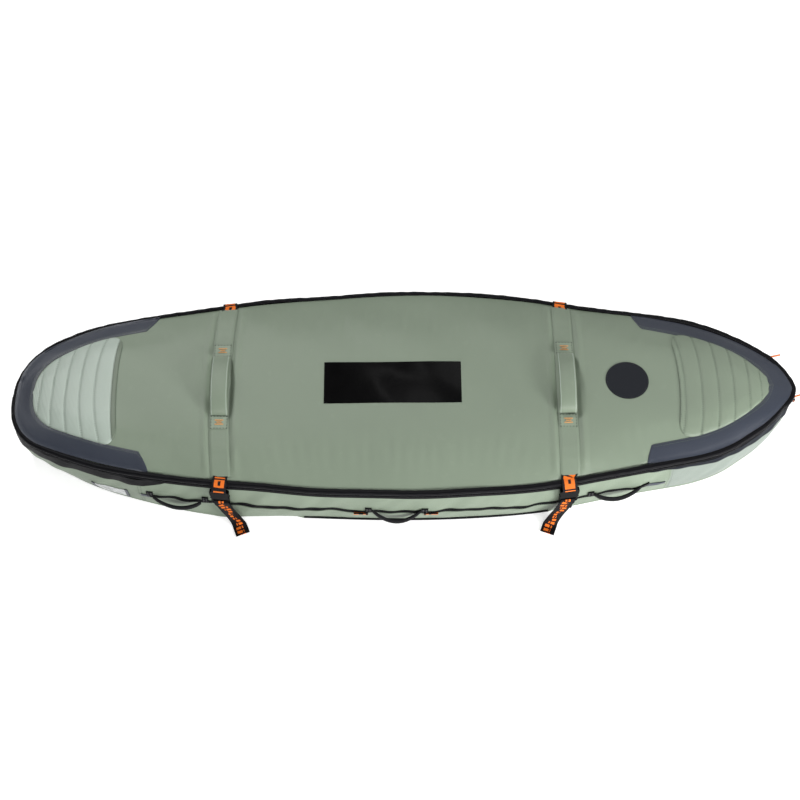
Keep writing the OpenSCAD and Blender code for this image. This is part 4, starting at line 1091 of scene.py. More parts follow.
def draped(name, xy, lift, thick, material, sharp=40):
    """A sheet over the deck from a grid of places, with its own thickness at each."""
    z = Deck.heights(xy) + lift
    top = np.concatenate([xy, (z + thick)[..., None]], axis=-1)
    low = np.concatenate([xy, z[..., None]], axis=-1)
    return loft(name, np.concatenate([top, low[:, ::-1]], axis=1), material, sharp=sharp)


def deck_line(xy, lift):
    """A line on the deck's face."""
    xy = np.asarray(xy, float)
    return np.concatenate([xy, (Deck.heights(xy) + lift)[:, None]], axis=1), UP


# Where a guard's two ends are, as they are met going round, and how long their slanted cuts are
GUARD_RUN = {
    "tail": (RIM.far(-0.667) - RIM.length, RIM.near(-0.670)),
    "nose": (RIM.near(0.634), RIM.far(0.624)),
}
GUARD_CUT = {"tail": (0.042, 0.036), "nose": (0.022, 0.032)}
# A side guard: its depth below the zip, its taper's length, its finish, and its far and near ends
SIDE_GUARDS = {
    "tail": (0.024, 0.06, "edge_binding", ZIP_FROM, RIM.near(-0.628)),
    "nose": (0.026, 0.40, "dark_slate", ZIP_TO, RIM.near(0.640)),
}
# What is left of a guard's width at the point of its taper
LEAST_TAPER = 0.06


def guard_xy(which, s, f):
    """A guard's places: along the rim at s, across at f from the binding inwards."""
    gaps = (s - GUARD_RUN[which][0], GUARD_RUN[which][1] - s)
    cut = np.minimum(*[np.clip(gap / long, 0, 1) for gap, long in zip(gaps, GUARD_CUT[which])]) ** 0.8
    w = GUARD_W * (LEAST_TAPER + (1 - LEAST_TAPER) * cut) + 0.012 * near_place(s, NOSE_TIP, 0.09)
    x, y, nx, ny = RIM.at(s)
    n = -0.0130 - band_extra(x, y) - (w + 0.0012) * f
    px, py = x + n * nx, y + n * ny
    flipped = (px > 0.9) & (py * y < 0)
    return np.stack([px, np.where(flipped, 0.0, py)], axis=-1)


def build_guards():
    """The guards on the deck round each end, and those on the wall under the zip."""
    for which, (deep, fade, finish, far, near) in SIDE_GUARDS.items():
        s = stations(*GUARD_RUN[which], 0.007)
        f = np.linspace(0, 1, 11)
        xy = np.stack([guard_xy(which, s, k) for k in f], axis=1)
        thick = np.broadcast_to(0.0016 * np.minimum(1, 6 * (1 - f)) ** 0.5 + 0.0002, xy.shape[:2])
        guard = draped(which + "_guard_cloth", xy, 0.0003, thick, "slate_cloth")
        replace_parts(hinge_blend(guard), which + "_guard")
        rows = [deck_line(guard_xy(which, s[4:-4], k), 0.0022) for k in (0.84, 0.95)]
        hinge_blend(stitches(which + "_guard_stitches", rows))

        def tall(s):
            return LEAST_TAPER + (1 - LEAST_TAPER) * np.clip(np.abs(s - near) / fade, 0, 1) ** 0.8

        first, last = min(far, near), max(far, near)
        side = wall_sheet(which + "_side_guard_cloth", finish, first, last, LOWER_TAPE_Z - deep,
                          LOWER_TAPE_Z + 0.003, lift=0.0014, thick=0.0011, rows=6, tall=tall)
        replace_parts(side, which + "_side_guard")
        run = stations(first + 0.012, last - 0.012, 0.01)
        rows = [wall_line(run, LOWER_TAPE_Z - k * tall(run), 0.0020) for k in (0.0035, deep - 0.0025)]
        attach(stitches(which + "_side_guard_stitches", rows, "dark_thread"), "shell")


# A quilted pad: its outer edge's place on the middle line and its bow, the seams' places and their
# bow, the inner edge's place and bow, and the finishes of the pad and of its welt
QUILTS = {
    # The tail pad's paler cloth is partly painted sheen
    "tail": ((-0.988, 1.2), (-0.967, -0.9326, -0.8955, -0.858, -0.8187), 0.9, (-0.760, 0.42),
             ("pale_cloth", "welt_cloth")),
    "nose": ((0.966, -2.0), (0.945, 0.913, 0.871, 0.830, 0.786), -0.5, (0.7280, -0.60),
             ("sage_cloth", "sage_cloth")),
}
QUILT_INSET, QUILT_CORNER, WELT = 0.0590, 0.050, 0.013


def quilt_half(x, bow, inner):
    """Half a pad's length along each of its bowed rows, drawn in at the nose and at its corners."""
    half = RIM.width(x, QUILT_INSET)
    for _ in range(3):
        half = np.maximum(RIM.width(x + bow * half ** 2, QUILT_INSET), 0.004)
    half = np.maximum(half - 0.0150 * bell(x, 0.975, 0.05), 0.003)
    corner = np.clip(np.abs(x - inner) / QUILT_CORNER, 0, 1)
    return half - QUILT_CORNER * (1 - np.sqrt(1 - (1 - corner) ** 2))


def build_quilts():
    """The quilted pads on the deck's two ends, each with a flat welt along its inner edge."""
    for which, ((outer, first_bow), lines, bow, (inner, last_bow), finish) in QUILTS.items():
        inward = 1 if inner > outer else -1
        welt_x = inner - inward * WELT
        knots = np.array([outer, *lines, welt_x, inner])
        bows = np.array([first_bow] + [bow] * len(lines) + [last_bow] * 2)
        last = len(knots) - 1
        u = np.concatenate([np.linspace(i, i + 1, 12, endpoint=False) for i in range(last)] + [[last]])
        x0, k = np.interp(u, np.arange(last + 1), knots), np.interp(u, np.arange(last + 1), bows)
        f = np.linspace(-1, 1, 41)
        half = quilt_half(x0, k, inner)
        y = half[:, None] * f
        xy = np.stack([x0[:, None] + k[:, None] * y ** 2, y], axis=-1)
        bump = np.abs(np.sin(PI * u)) ** 0.28
        end = np.minimum(1, 8 * (1 - np.abs(f))) ** 0.5
        high = np.where(u > last - 1, 0.45, 1.0) * np.where(u < 1, 0.6, 1.0)
        tuck = 0.0002 * ripple(y + 3 * x0[:, None], (0.013, 0.021, 0.034), 51)
        thick = 0.0012 + (sizes().quilt_h * high * bump)[:, None] * end * (1 + 0.10 * np.sin(60 * y))
        thick = np.maximum(thick + tuck * end * (0.4 + bump)[:, None], 0.0008)
        pad = draped(which + "_quilt_pad", xy, 0.0002, thick, finish, sharp=75)
        middles = np.array([p.center[:2] for p in pad.data.polygons])
        welt = (middles[:, 0] - welt_x - last_bow * middles[:, 1] ** 2) * inward > 0
        pad.data.polygons.foreach_set("material_index", welt.astype(int))
        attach(pad, "lid")
        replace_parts(pad, which + "_quilt")
        rows = []
        for i in range(1, last + 1):
            yy = np.linspace(-0.985, 0.985, 60) * np.interp(i, u, half)
            for off in ((-0.0016, 0.0016) if i < last else (-0.0022 * inward, 0.0010 * inward)):
                xx = knots[i] + off + bows[i] * yy ** 2
                rows.append(deck_line(np.stack([xx, yy], axis=1), 0.0023))
        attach(stitches(which + "_quilt_stitches", rows, scale=1.1), "lid")


# Places across a tunnel, in millimetres from its middle
TUNNEL_COLUMNS = (-27, -25.5, -23, -20.5, -18, -12, -6, 0, 6, 12, 18, 20.5, 23, 25.5, 27)


def build_tunnels():
    """The two cloth tunnels that carry the straps over the deck."""
    for which, x0 in STRAP_X.items():
        reach = min(RIM.width(x0 - 0.03, 0.0175), RIM.width(x0 + 0.03, 0.0175))
        y = np.linspace(reach, -reach, 76)
        q = np.array(TUNNEL_COLUMNS) / 1000
        xy = np.stack([tunnel_x(which, y)[:, None] + q, np.repeat(y[:, None], len(q), axis=1)], axis=-1)
        rise = np.clip((TUNNEL_W / 2 - np.abs(q)) / 0.007, 0, 1)
        rise = rise * rise * (3 - 2 * rise)
        uneven = 1 + 0.12 * ripple(y, (0.03, 0.05, 0.08), 61)
        thick = 0.0011 + (TUNNEL_H - 0.0011) * rise[None, :] * uneven[:, None]
        tunnel = draped(which + "_tunnel_cloth", xy, 0.0002, thick, "sage_cloth", sharp=60)
        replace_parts(hinge_blend(tunnel), "strap_tunnel_" + which, "margin_tunnel_" + which)
        rows = [deck_line(np.stack([tunnel_x(which, y) + side, y], axis=1), 0.0020)
                for side in (-0.0258, -0.0226, 0.0226, 0.0258)]
        hinge_blend(stitches(which + "_tunnel_stitches", rows, "sage_thread", 0.8))


PRINT_X, PRINT_Y = (-0.2115, 0.1515), (-0.056, 0.068)
PATCH_X, PATCH_Y, PATCH_R, PATCH_SEAM_R = 0.590, 0.006, 0.057, 0.0545


def build_prints():
    """The plain print panel and the round patch on the deck."""
    xy = np.stack(np.meshgrid(np.linspace(*PRINT_X, 25), np.linspace(*PRINT_Y, 13), indexing="ij"), axis=-1)
    panel = draped("print_panel_film", xy, 0.0003, np.full(xy.shape[:2], 0.0006), "gloss_print")
    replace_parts(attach(panel, "lid"), "print_panel")
    row = np.sin(PI / 2 * np.linspace(-1, 1, 33)) * PATCH_R
    half = np.sqrt(np.maximum(PATCH_R ** 2 - row ** 2, 1e-6))
    across = half[:, None] * np.linspace(-1, 1, 21)
    xy = np.stack([PATCH_X + row[:, None] + 0 * across, PATCH_Y + across], axis=-1)
    patch = draped("round_patch_cloth", xy, 0.0003, np.full(xy.shape[:2], 0.0009), "patch_cloth")
    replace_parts(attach(patch, "lid"), "round_patch")
    t = np.linspace(0, 2 * PI, 90)
    circle = [PATCH_X + PATCH_SEAM_R * np.cos(t), PATCH_Y + PATCH_SEAM_R * np.sin(t)]
    ring = deck_line(np.stack(circle, axis=1), 0.0013)
    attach(stitches("round_patch_stitches", [ring], "dark_thread"), "lid")


# ---- Straps ----
def rim_frame(x, side=-1):
    """The rim's place at x, the way out from it and the way along it, on the near or far side."""
    y, nx, ny = RIM.at(np.array([RIM.near(x)]))[1:, 0]
    at = np.array([x, side * abs(y), 0.0])
    out = np.array([nx, side * abs(ny), 0.0])
    along = np.array([-out[1], out[0], 0.0]) if side < 0 else np.array([out[1], -out[0], 0.0])
    return at, out, along


BUCKLE_N, BUCKLE_T = 0.003, 0.011
BUCKLE_FRONT = BUCKLE_N + BUCKLE_T - 0.0007
PLUG_BACK = BUCKLE_N + 0.0037 - WEB_T
PLUG_BOTTOM = 0.1127
SOCKET_TOP = RIM_Z - 0.009
LADDER_Z = 0.0915
# How the strap turns over the rim, as places [outside the rim, height]
RIM_TURN = ((-0.0165, RIM_Z + 0.0034), (-0.010, RIM_Z + 0.0030), (-0.003, RIM_Z + 0.0026))
FAR_TURN = ((0.0022, RIM_Z - 0.006), (0.0012, RIM_Z + 0.0002)) + RIM_TURN[::-1]
NEAR_TURN = RIM_TURN + (
    (0.0030, RIM_Z - 0.0004), (0.0090, RIM_Z - 0.006), (0.0135, SOCKET_TOP + 0.0005),
    (0.0147, SOCKET_TOP - 0.0010), (0.0120, SOCKET_TOP - 0.0038))
# The strap's loose end, from the buckle to the ground: places [outside the rim, height, along the bag]
LOOSE_END = (
    (BUCKLE_FRONT - 0.002, 0.1055, 0.001), (BUCKLE_FRONT + 0.001, 0.0985, 0.002),
    (BUCKLE_FRONT + 0.0025, LADDER_Z - 0.004, 0.008), (BUCKLE_FRONT + 0.005, 0.062, 0.018),
    (BUCKLE_FRONT + 0.007, 0.037, 0.029), (BUCKLE_FRONT + 0.012, 0.013, 0.040),
    (BUCKLE_FRONT + 0.021, 0.0034, 0.047), (BUCKLE_FRONT + 0.040, 0.0018, 0.057))


def build_straps():
    """Each strap up the far wall and over the deck to its buckle, its lower web and its loose end."""
    for which, x0 in STRAP_X.items():
        def place(p, n, z):
            return p + out * n + UP * z

        def wall(z):
            return float(wall_n(np.array([out[0]]), z)[0]) + 0.0035

        at, out, along = rim_frame(float(tunnel_x(which, 0.28)), 1)
        centre = [place(at, wall(z), z) for z in np.linspace(0.012, 0.150, 8)]
        centre += [place(at, n, z) for n, z in FAR_TURN]
        across = [along] * len(centre)
        edge = abs(at[1]) - 0.030
        for y in np.linspace(edge, -edge, 17):
            x = tunnel_x(which, y)
            centre.append(np.array([x, y, Deck.height(x, y) + 0.0017]))
            across.append(np.array([1.0, 0, 0]))
        at, out, along = rim_frame(x0, -1)
        centre += [place(at, n, z) for n, z in NEAR_TURN]
        across += [along] * len(NEAR_TURN)
        strap = ribbon(which + "_strap_web", centre, across, "print_web_" + which, samples=260)
        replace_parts(hinge_blend(strap), "deck_strap_" + which, "far_strap_" + which)
        zs = np.linspace(0.012, PLUG_BOTTOM, 12)
        centre = [place(at, max(wall(z) - 0.001, min(PLUG_BACK, 0.06 * z - 0.003)), z) for z in zs]
        lower = ribbon(which + "_lower_web", centre, [along] * len(centre), "black_web")
        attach(lower, "shell")
        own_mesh(lower)
        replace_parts(lower, "lower_strap_" + which)
        way = 1 if which == "tail" else -1
        centre = [place(at, n, z) + along * way * aside for n, z, aside in LOOSE_END]
        tail_end = ribbon(which + "_strap_tail", centre, [along] * len(centre), "dotted_web", samples=60)
        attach(tail_end, "shell")
        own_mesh(tail_end)
        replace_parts(tail_end, "strap_end_" + which, "strap_foot_" + which)


# ---- Handles ----
ANCHOR_Y, ANCHOR_HALF_L, ANCHOR_HALF_W = 0.110, 0.019, 0.0215
ANCHOR_LIFT = TUNNEL_H + 0.0004
# The rows of a bartack: each one's shift along the handle, and half its length
TACK_ROWS = ((-0.0060, 0.0105), (0.0, 0.0060), (0.0060, 0.0105))
PAD_HALF_L, PAD_HALF_W, PAD_HALF_T, PAD_END_HALF_T = 0.0895, 0.0225, 0.0030, 0.0012
PAD_SECTION = (
    (-1, -0.15), (-0.94, -0.75), (-0.8, -1), (-0.3, -1.05),
    (0.3, -1.05), (0.8, -1), (0.94, -0.75), (1, -0.15),
    (1, 0.15), (0.94, 0.75), (0.8, 1), (0.3, 1.15),
    (-0.3, 1.15), (-0.8, 1), (-0.94, 0.75), (-1, 0.15))


def box_stitch(x, y, w, h):
    """The four lines that hold a patch down, as places on the deck."""
    t = np.linspace(0, 1, 14)[:, None]
    corners = [(x - w, y - h), (x + w, y - h), (x + w, y + h), (x - w, y + h)]
    return [np.array(corners[i]) * (1 - t) + np.array(corners[(i + 1) % 4]) * t for i in range(4)]


def top_handle_anchors(which):
    """The two patches that hold a carry handle, with their stitches and bartacks."""
    xc = float(tunnel_x(which, ANCHOR_Y))
    rows, tacks = [], []
    for letter, way in (("a", -1), ("b", 1)):
        x = xc + np.linspace(-ANCHOR_HALF_W, ANCHOR_HALF_W, 9)
        y = way * np.linspace(ANCHOR_Y - ANCHOR_HALF_L, ANCHOR_Y + ANCHOR_HALF_L, 9)
        xy = np.stack(np.meshgrid(x, y, indexing="ij"), axis=-1)
        patch = draped(which + "_anchor_patch_" + letter, xy, ANCHOR_LIFT, np.full(xy.shape[:2], 0.0016),
                       "anchor_cloth")
        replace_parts(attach(patch, "lid"), "handle_anchors_" + which)
        square = box_stitch(xc, ANCHOR_Y * way, ANCHOR_HALF_W - 0.0010, ANCHOR_HALF_L - 0.0015)
        rows += [deck_line(leg, ANCHOR_LIFT + 0.0021) for leg in square]
        for shift, reach in TACK_ROWS:
            t = np.linspace(-reach, reach, 9)
            places = np.stack([xc + t, 0 * t + ANCHOR_Y * way + shift], axis=1)
            tacks.append(deck_line(places, ANCHOR_LIFT + 0.0024))
    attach(stitches(which + "_anchor_stitches", rows, "dark_thread", 1.25), "lid")
    bars = row_of(which + "_anchor_bartacks", tacks, "bartack_thread",
                  pitch=0.00125, length=0.0015, width=0.0046, height=0.0014)
    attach(bars, "lid")


def build_top_handles():
    """The two padded carry handles that arch over the deck."""
    for which in STRAP_X:
        body = "top_handle_" + which
        top_handle_anchors(which)
        f = np.linspace(-1, 1, 41)
        y = f * PAD_HALF_L
        xc = tunnel_x(which, y)
        base = Deck.height(float(tunnel_x(which, 0.1)), 0.1) + ANCHOR_LIFT + 0.0018
        arch = base + 0.0300 * np.clip(1 - f ** 2, 0, 1) ** 0.60 + 0.0006
        plump = np.clip((1 - np.abs(f)) / 0.10, 0, 1) ** 0.5
        half_t = PAD_END_HALF_T + (PAD_HALF_T - PAD_END_HALF_T) * plump
        rings = np.stack([np.stack([xc + a * PAD_HALF_W, y, arch + b * half_t + half_t], axis=-1)
                          for a, b in PAD_SECTION], axis=1)
        pad = loft(which + "_handle_pad", rings, "sage_cloth")
        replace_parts(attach(pad, body), body)
        rows = [(np.stack([xc + side * PAD_HALF_W * 0.86, y, arch + 2 * half_t - 0.0003], axis=1), UP)
                for side in (-1, 1)]
        seam = row_of(which + "_handle_stitches", rows, "pale_thread",
                      pitch=0.0030, length=0.0034, width=0.0016, height=0.0010)
        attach(seam, body)


# A side handle's middle and how far it sags
SIDE_HANDLES = {"tail": (-0.598, 0.026), "mid": (-0.022, 0.044), "nose": (0.562, 0.026)}
HANDLE_Z = POCKET_ZIP_Z + 0.014
HANDLE_HALF_L, TAB_OFF, TAB_HALF_W, TAB_HALF_H = 0.065, 0.074, 0.0085, 0.010


def build_side_handles():
    """The three webbing handles that hang on the near wall, and the tabs that hold them."""
    tacks = []
    for which, (x0, sag) in SIDE_HANDLES.items():
        at, out, along = rim_frame(x0)
        f = np.linspace(-1, 1, 41)
        bow = 1 - f ** 2
        n = 0.0042 + 0.010 * bow + float(slump(np.array([RIM.near(x0)]))[0]) * 0.55
        z = HANDLE_Z - sag * bow
        h = (0.014 + 0.007 * np.minimum(1, 3 * bow)) / 2
        t = (0.004 + 0.003 * np.minimum(1, 3 * bow)) / 2
        centre = at + np.outer(f * HANDLE_HALF_L, along) + np.outer(n, out) + np.outer(z, UP)
        rings = np.stack([centre + np.outer(t * math.cos(a), out) + np.outer(h * math.sin(a), UP)
                          for a in np.linspace(0, 2 * PI, 12, endpoint=False)], axis=1)
        handle = loft(which + "_side_handle_web", rings, "black_web")
        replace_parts(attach(handle, "side_handle_" + which), "side_handle_" + which)
        for letter, way in (("a", -1), ("b", 1)):
            s = RIM.near(x0 + way * TAB_OFF * along[0])
            foot, top = HANDLE_Z - TAB_HALF_H, HANDLE_Z + TAB_HALF_H
            tab = wall_sheet(which + "_side_tab_" + letter, "black_web", s - TAB_HALF_W, s + TAB_HALF_W,
                             foot, top, lift=0.0008, thick=0.0024, rows=4)
            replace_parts(tab, "side_handle_tabs")
            zz = np.linspace(HANDLE_Z - 0.007, HANDLE_Z + 0.007, 8)
            for off in (-0.004, 0.004):
                tacks.append(wall_line(np.full(len(zz), s + off), zz, 0.0034))
    bars = row_of("side_tab_bartacks", tacks, "dark_thread",
                  pitch=0.0012, length=0.0015, width=0.0032, height=0.0010)
    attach(bars, "shell")


# ---- Pocket, window and zips ----
POCKET_X, POCKET_FOOT_Z, POCKET_TOP_Z = (-0.455, 0.400), 0.0130, POCKET_ZIP_Z - 0.0062
POCKET_TAPE_TOP, POCKET_TAPE_FOOT = POCKET_ZIP_Z + 0.0062, POCKET_ZIP_Z - 0.0122
ZIP_TABS, ZIP_TAB_HALF_H = {"a": (-0.696, -0.674), "b": (0.623, 0.689)}, 0.0058
WINDOW_X, WINDOW_Z = (-0.824, -0.744), (0.014, 0.062)
WINDOW_EDGE_W, WINDOW_EDGE_Z = 0.008, (0.011, 0.065)


def build_pocket():
    """The pocket with its zip, and the clear window beside it."""
    a, b = RIM.near(SEAM_X["tail"] + 0.024), RIM.near(SEAM_X["nose"] - 0.078)
    sliders = [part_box(k) for k in ("pocket_slider_tail", "pocket_slider_nose")]
    stops = [RIM.near((low.x + high.x) / 2) for low, high in sliders]

    def wander(s):
        """The soft zip's wave, still at the two sliders and at its ends."""
        still = 1.0
        for stop in stops + [a, b]:
            still = still * (1 - near_place(s, stop, 0.035))
        still = still * np.where(np.abs(RIM.at(s)[0] + 0.02) < 0.42, 0.4, 1.0)
        return 0.0024 * ripple(s, (0.13, 0.21, 0.37), 71) * still

    def tall(s):
        """The tape shows wider under the cloth's sag by the tail strap."""
        return 0.67 + 0.33 * near_place(s, RIM.near(-0.22), 0.10)

    panel = wall_sheet("pocket_panel_cloth", "sage_cloth", RIM.near(POCKET_X[0]), RIM.near(POCKET_X[1]),
                       POCKET_FOOT_Z, POCKET_TOP_Z, lift=0.0006, thick=0.0026, rows=10)
    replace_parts(panel, "pocket_panel")
    tape_cloth = wall_sheet("pocket_zip_cloth", "tape_cloth", a, b, POCKET_TAPE_FOOT, POCKET_TAPE_TOP,
                            lift=0.0006, thick=0.0009, rows=4, wander=wander, tall=tall)
    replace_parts(tape_cloth, "pocket_zip_tape")
    s = stations(a + 0.003, b - 0.003, 0.01)
    line = wall_line(s, POCKET_ZIP_Z + wander(s), 0.0020)
    teeth = row_of("pocket_chain", [line], "zip_coil",
                   pitch=sizes().tooth_pitch * 0.8, length=0.0016, width=0.0046, height=0.0018)
    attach(teeth, "shell")
    for letter, (x0, x1) in ZIP_TABS.items():
        tab = wall_sheet("pocket_zip_tab_" + letter, "slate_cloth", RIM.near(x0), RIM.near(x1),
                         POCKET_ZIP_Z - ZIP_TAB_HALF_H, POCKET_ZIP_Z + ZIP_TAB_HALF_H,
                         lift=0.0006, thick=0.0015, rows=3)
        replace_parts(tab, "pocket_zip_tabs")
    rows = [wall_line(s, POCKET_ZIP_Z + wander(s) + k, 0.0018) for k in (-0.0052, 0.0052)]
    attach(stitches("pocket_stitches", rows, "dark_thread"), "shell")
    w0, w1 = (RIM.near(x) for x in WINDOW_X)
    film = wall_sheet("id_window_film", "window_film", w0, w1, *WINDOW_Z, lift=0.0010, thick=0.0005,
                      rows=20, crumple=0.0011)
    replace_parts(film, "id_window")
    for letter, s0 in (("a", w0 - 0.0085), ("b", w1 + 0.0005)):
        strip = wall_sheet("id_window_edge_" + letter, "slate_cloth", s0, s0 + WINDOW_EDGE_W,
                           *WINDOW_EDGE_Z, lift=0.0006, thick=0.0018)
        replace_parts(strip, "id_window_bindings")


# The hard parts' finishes, and how wide their edges are softened
METAL = ("far_zip_slider", "tip_zip_slider", "pocket_slider_tail", "pocket_slider_nose")
PULLS = ("far_zip_pull", "tip_zip_pull")
POCKET_PULLS = ("pocket_pull_tail", "pocket_pull_nose")
PLASTIC = ("buckle_socket_tail", "buckle_socket_nose", "buckle_plug_tail", "buckle_plug_nose")
HARD_PARTS = (
    (METAL, "dark_plate", 0.0003), (PULLS, "pull_cord", 0.0006),
    (POCKET_PULLS, "black_web", 0.0004), (PLASTIC, "black_moulding", 0.0006))


def pull_tip(name):
    """A coloured sleeve round the lower end of a pocket pull."""
    lo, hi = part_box(name)
    lo, hi = np.array(lo) - 0.0006, np.array(hi) + 0.0006
    hi[2] = lo[2] + 0.45 * (hi[2] - lo[2])
    corners = [(lo[0], lo[1]), (hi[0], lo[1]), (hi[0], hi[1]), (lo[0], hi[1])]
    rings = [[(x, y, z) for x, y in corners] for z in (lo[2], hi[2])]
    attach(loft(name + "_tip", rings, "pull_cord"), name)


def build_hardware():
    """The hard parts keep the frame's own solids, with softened edges."""
    for name in POCKET_PULLS:
        pull_tip(name)
    for names, finish, edge in HARD_PARTS:
        for name in names:
            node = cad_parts[name]
            node.data.materials.clear()
            node.data.materials.append(finish_of(finish))
            bevel = node.modifiers.new("edges", "BEVEL")
            bevel.width, bevel.segments, bevel.limit_method = edge, 2, "ANGLE"
            node.modifiers.new("shading", "WEIGHTED_NORMAL")


# ---- Stage ----
def white_to_camera(name, lit, glow):
    """A pale matt floor that reads as white where the camera sees it unshaded."""
    b = Bench(name, Roughness=0.9, Specular_IOR_Level=0.1)
    b.surface.inputs["Base Color"].default_value = (lit, lit, lit, 1)
    b.surface.inputs["Emission Strength"].default_value = 1.0
    seen = b.put("ShaderNodeLightPath", out="Is Camera Ray")
    mirrored = b.put("ShaderNodeLightPath", out="Is Glossy Ray")
    return b.feed(Emission_Color=b.mix(seen + mirrored, (0, 0, 0), (glow, glow, glow)))


# Each lamp's place, aim, size and power
LAMPS = {
    "key": ((-1.8, 2.2, 3.1), (-0.2, 0, 0.1), (0.7, 0.7), 68),
    "fill": ((1.9, 2.4, 3.6), (0.3, 0, 0.1), (3.0, 3.0), 48),
    "front": ((0.5, -3.3, 1.1), (0.0, -0.2, 0.1), (2.6, 0.9), 60),
    "nose": ((2.5, -2.1, 1.1), (0.7, -0.2, 0.1), (1.2, 0.8), 90),
    "side": ((-3.0, 1.2, 2.6), (-0.3, 0, 0.1), (0.9, 0.9), 5),
    "glint": ((-0.03, 1.78, 3.2), (-0.03, 0, 0.17), (0.05, 1.0), 0.5),
}
CAMERA_AIM, CAMERA_TILT, CAMERA_TURN = (-0.011, 0, 0.12), math.radians(61), -0.008
CAMERA_DISTANCE, CAMERA_LENS = 4.45, 74.5


def towards(place, aim):
    """The turn that points a lamp or camera at its aim."""
    return (Vector(aim) - Vector(place)).to_track_quat("-Z", "Y")


def build_stage():
    """The pale floor, the white world, the lamps and the camera."""
    scene = bpy.context.scene
    bpy.ops.mesh.primitive_plane_add(size=60, location=(0, 0, -0.0005))
    floor = bpy.context.object
    floor.name = "floor"
    floor.data.materials.append(white_to_camera("floor_white", 0.80, 0.62))
    world = bpy.data.worlds.new("studio")
    scene.world = world
    world.use_nodes = True
    world.node_tree.nodes["Background"].inputs[0].default_value = (1, 1, 1, 1)
    world.node_tree.nodes["Background"].inputs[1].default_value = 0.22
    for name, (at, aim, size, power) in LAMPS.items():
        data = bpy.data.lights.new(name, "AREA")
        data.shape, data.size, data.size_y, data.energy = "RECTANGLE", size[0], size[1], power
        light = bpy.data.objects.new(name, data)
        light.location = at
        light.rotation_euler = towards(at, aim).to_euler()
        scene.collection.objects.link(light)
    data = bpy.data.cameras.new("camera")
    camera = bpy.data.objects.new("camera", data)
    scene.collection.objects.link(camera)
    away = Vector((0, -math.cos(CAMERA_TILT) * CAMERA_DISTANCE, math.sin(CAMERA_TILT) * CAMERA_DISTANCE))
    camera.location = Vector(CAMERA_AIM) + away
    turn = towards(camera.location, CAMERA_AIM).to_matrix() @ Matrix.Rotation(CAMERA_TURN, 3, "Z")
    camera.rotation_euler = turn.to_euler()
    data.lens, data.sensor_width = CAMERA_LENS, 36
    scene.camera = camera
    scene.view_settings.view_transform = "Standard"


# ---- Operators ----
class BAG_OT_shell(bpy.types.Operator):
    """Sews the walls, the bottom with its piping and the wall seams"""
    bl_idname = "bag.shell"
    bl_label = "Shell"
    bl_options = {"REGISTER", "UNDO"}

    def execute(self, context):
        build_shell()
        return {"FINISHED"}


class BAG_OT_rim(bpy.types.Operator):
    """Binds the rim and sets the two zip tapes and their chain"""
    bl_idname = "bag.rim"
    bl_label = "Rim"
    bl_options = {"REGISTER", "UNDO"}

    def execute(self, context):
        build_rim()
        return {"FINISHED"}


class BAG_OT_deck(bpy.types.Operator):
    """Fills and sews the padded deck"""
    bl_idname = "bag.deck"
    bl_label = "Deck"
    bl_options = {"REGISTER", "UNDO"}

    def execute(self, context):
        Deck.build()
        return {"FINISHED"}


class BAG_OT_guards(bpy.types.Operator):
    """Lays the guards round the nose and tail"""
    bl_idname = "bag.guards"
    bl_label = "Guards"
    bl_options = {"REGISTER", "UNDO"}

    def execute(self, context):
        build_guards()
        return {"FINISHED"}


class BAG_OT_quilts(bpy.types.Operator):
    """Sews the two quilted pads"""
    bl_idname = "bag.quilts"
    bl_label = "Quilts"
    bl_options = {"REGISTER", "UNDO"}

    def execute(self, context):
        build_quilts()
        return {"FINISHED"}


class BAG_OT_tunnels(bpy.types.Operator):
    """Sews the strap tunnels across the deck"""
    bl_idname = "bag.tunnels"
    bl_label = "Tunnels"
    bl_options = {"REGISTER", "UNDO"}

    def execute(self, context):
        build_tunnels()
        return {"FINISHED"}


class BAG_OT_prints(bpy.types.Operator):
    """Lays the plain print panel and the round patch"""
    bl_idname = "bag.prints"
    bl_label = "Prints"
    bl_options = {"REGISTER", "UNDO"}

    def execute(self, context):
        build_prints()
        return {"FINISHED"}


class BAG_OT_straps(bpy.types.Operator):
    """Threads the compression straps"""
    bl_idname = "bag.straps"
    bl_label = "Straps"
    bl_options = {"REGISTER", "UNDO"}

    def execute(self, context):
        build_straps()
        return {"FINISHED"}


class BAG_OT_top_handles(bpy.types.Operator):
    """Pads and anchors the carry handles on the deck"""
    bl_idname = "bag.top_handles"
    bl_label = "Top Handles"
    bl_options = {"REGISTER", "UNDO"}

    def execute(self, context):
        build_top_handles()
        return {"FINISHED"}


class BAG_OT_side_handles(bpy.types.Operator):
    """Hangs the webbing handles on the near wall"""
    bl_idname = "bag.side_handles"
    bl_label = "Side Handles"
    bl_options = {"REGISTER", "UNDO"}

    def execute(self, context):
        build_side_handles()
        return {"FINISHED"}


class BAG_OT_pocket(bpy.types.Operator):
    """Sews the pocket, its zip and the clear window"""
    bl_idname = "bag.pocket"
    bl_label = "Pocket"
    bl_options = {"REGISTER", "UNDO"}

    def execute(self, context):
        build_pocket()
        return {"FINISHED"}


class BAG_OT_hardware(bpy.types.Operator):
    """Finishes the buckles, sliders and pulls"""
    bl_idname = "bag.hardware"
    bl_label = "Hardware"
    bl_options = {"REGISTER", "UNDO"}

    def execute(self, context):
        build_hardware()
        return {"FINISHED"}


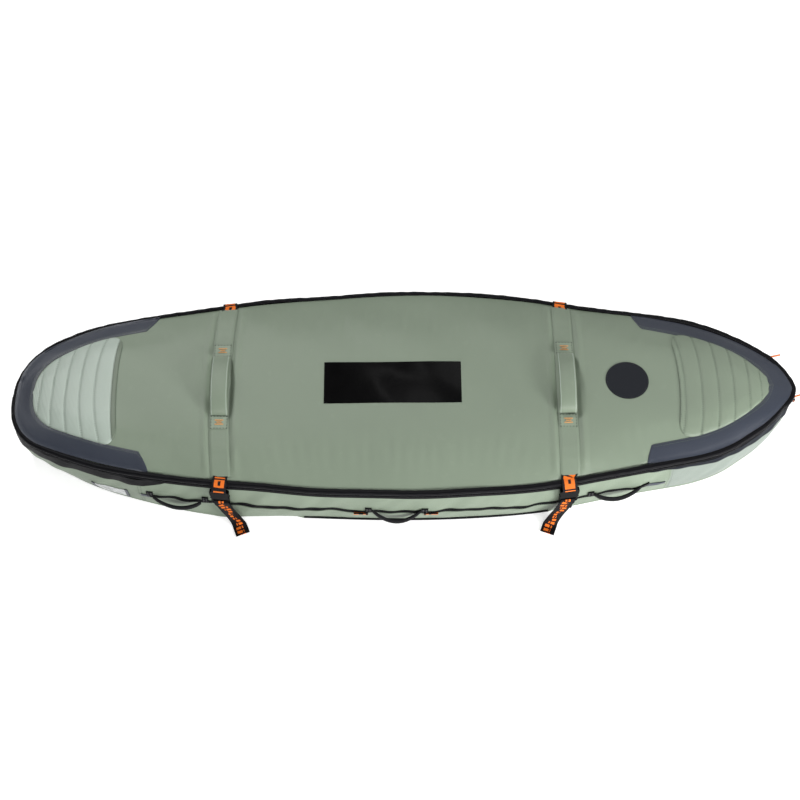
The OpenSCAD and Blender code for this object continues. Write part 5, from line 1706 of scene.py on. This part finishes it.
class BAG_OT_stage(bpy.types.Operator):
    """Sets the floor, the lamps and the camera"""
    bl_idname = "bag.stage"
    bl_label = "Stage"
    bl_options = {"REGISTER", "UNDO"}

    def execute(self, context):
        build_stage()
        return {"FINISHED"}


OPERATORS = (
    BAG_OT_shell, BAG_OT_rim, BAG_OT_deck, BAG_OT_guards, BAG_OT_quilts, BAG_OT_tunnels, BAG_OT_prints,
    BAG_OT_straps, BAG_OT_top_handles, BAG_OT_side_handles, BAG_OT_pocket, BAG_OT_hardware, BAG_OT_stage)


class BAG_PT_panel(bpy.types.Panel):
    """The bag's sizes, colours and steps."""
    bl_idname = "BAG_PT_panel"
    bl_label = "Board bag"
    bl_space_type = "VIEW_3D"
    bl_region_type = "UI"
    bl_category = "Bag"

    def draw(self, context):
        column = self.layout.column()
        for group in (context.scene.bag_sizes, context.scene.bag_colours):
            for key in group.__annotations__:
                column.prop(group, key)
        for operator in OPERATORS:
            column.operator(operator.bl_idname)


CLASSES = (BagSizes, BagColours, *OPERATORS, BAG_PT_panel)


def register():
    """Registers the classes and gives the scene its sizes and colours."""
    for c in CLASSES:
        bpy.utils.register_class(c)
    bpy.types.Scene.bag_sizes = bpy.props.PointerProperty(type=BagSizes)
    bpy.types.Scene.bag_colours = bpy.props.PointerProperty(type=BagColours)


def unregister():
    """Takes the sizes, the colours and the classes away again."""
    del bpy.types.Scene.bag_sizes
    del bpy.types.Scene.bag_colours
    for c in reversed(CLASSES):
        bpy.utils.unregister_class(c)


def main():
    """Builds the whole bag and its stage."""
    register()
    bpy.ops.bag.shell()
    bpy.ops.bag.rim()
    bpy.ops.bag.deck()
    bpy.ops.bag.guards()
    bpy.ops.bag.quilts()
    bpy.ops.bag.tunnels()
    bpy.ops.bag.prints()
    bpy.ops.bag.straps()
    bpy.ops.bag.top_handles()
    bpy.ops.bag.side_handles()
    bpy.ops.bag.pocket()
    bpy.ops.bag.hardware()
    bpy.ops.bag.stage()


if __name__ == "__main__":
    main()
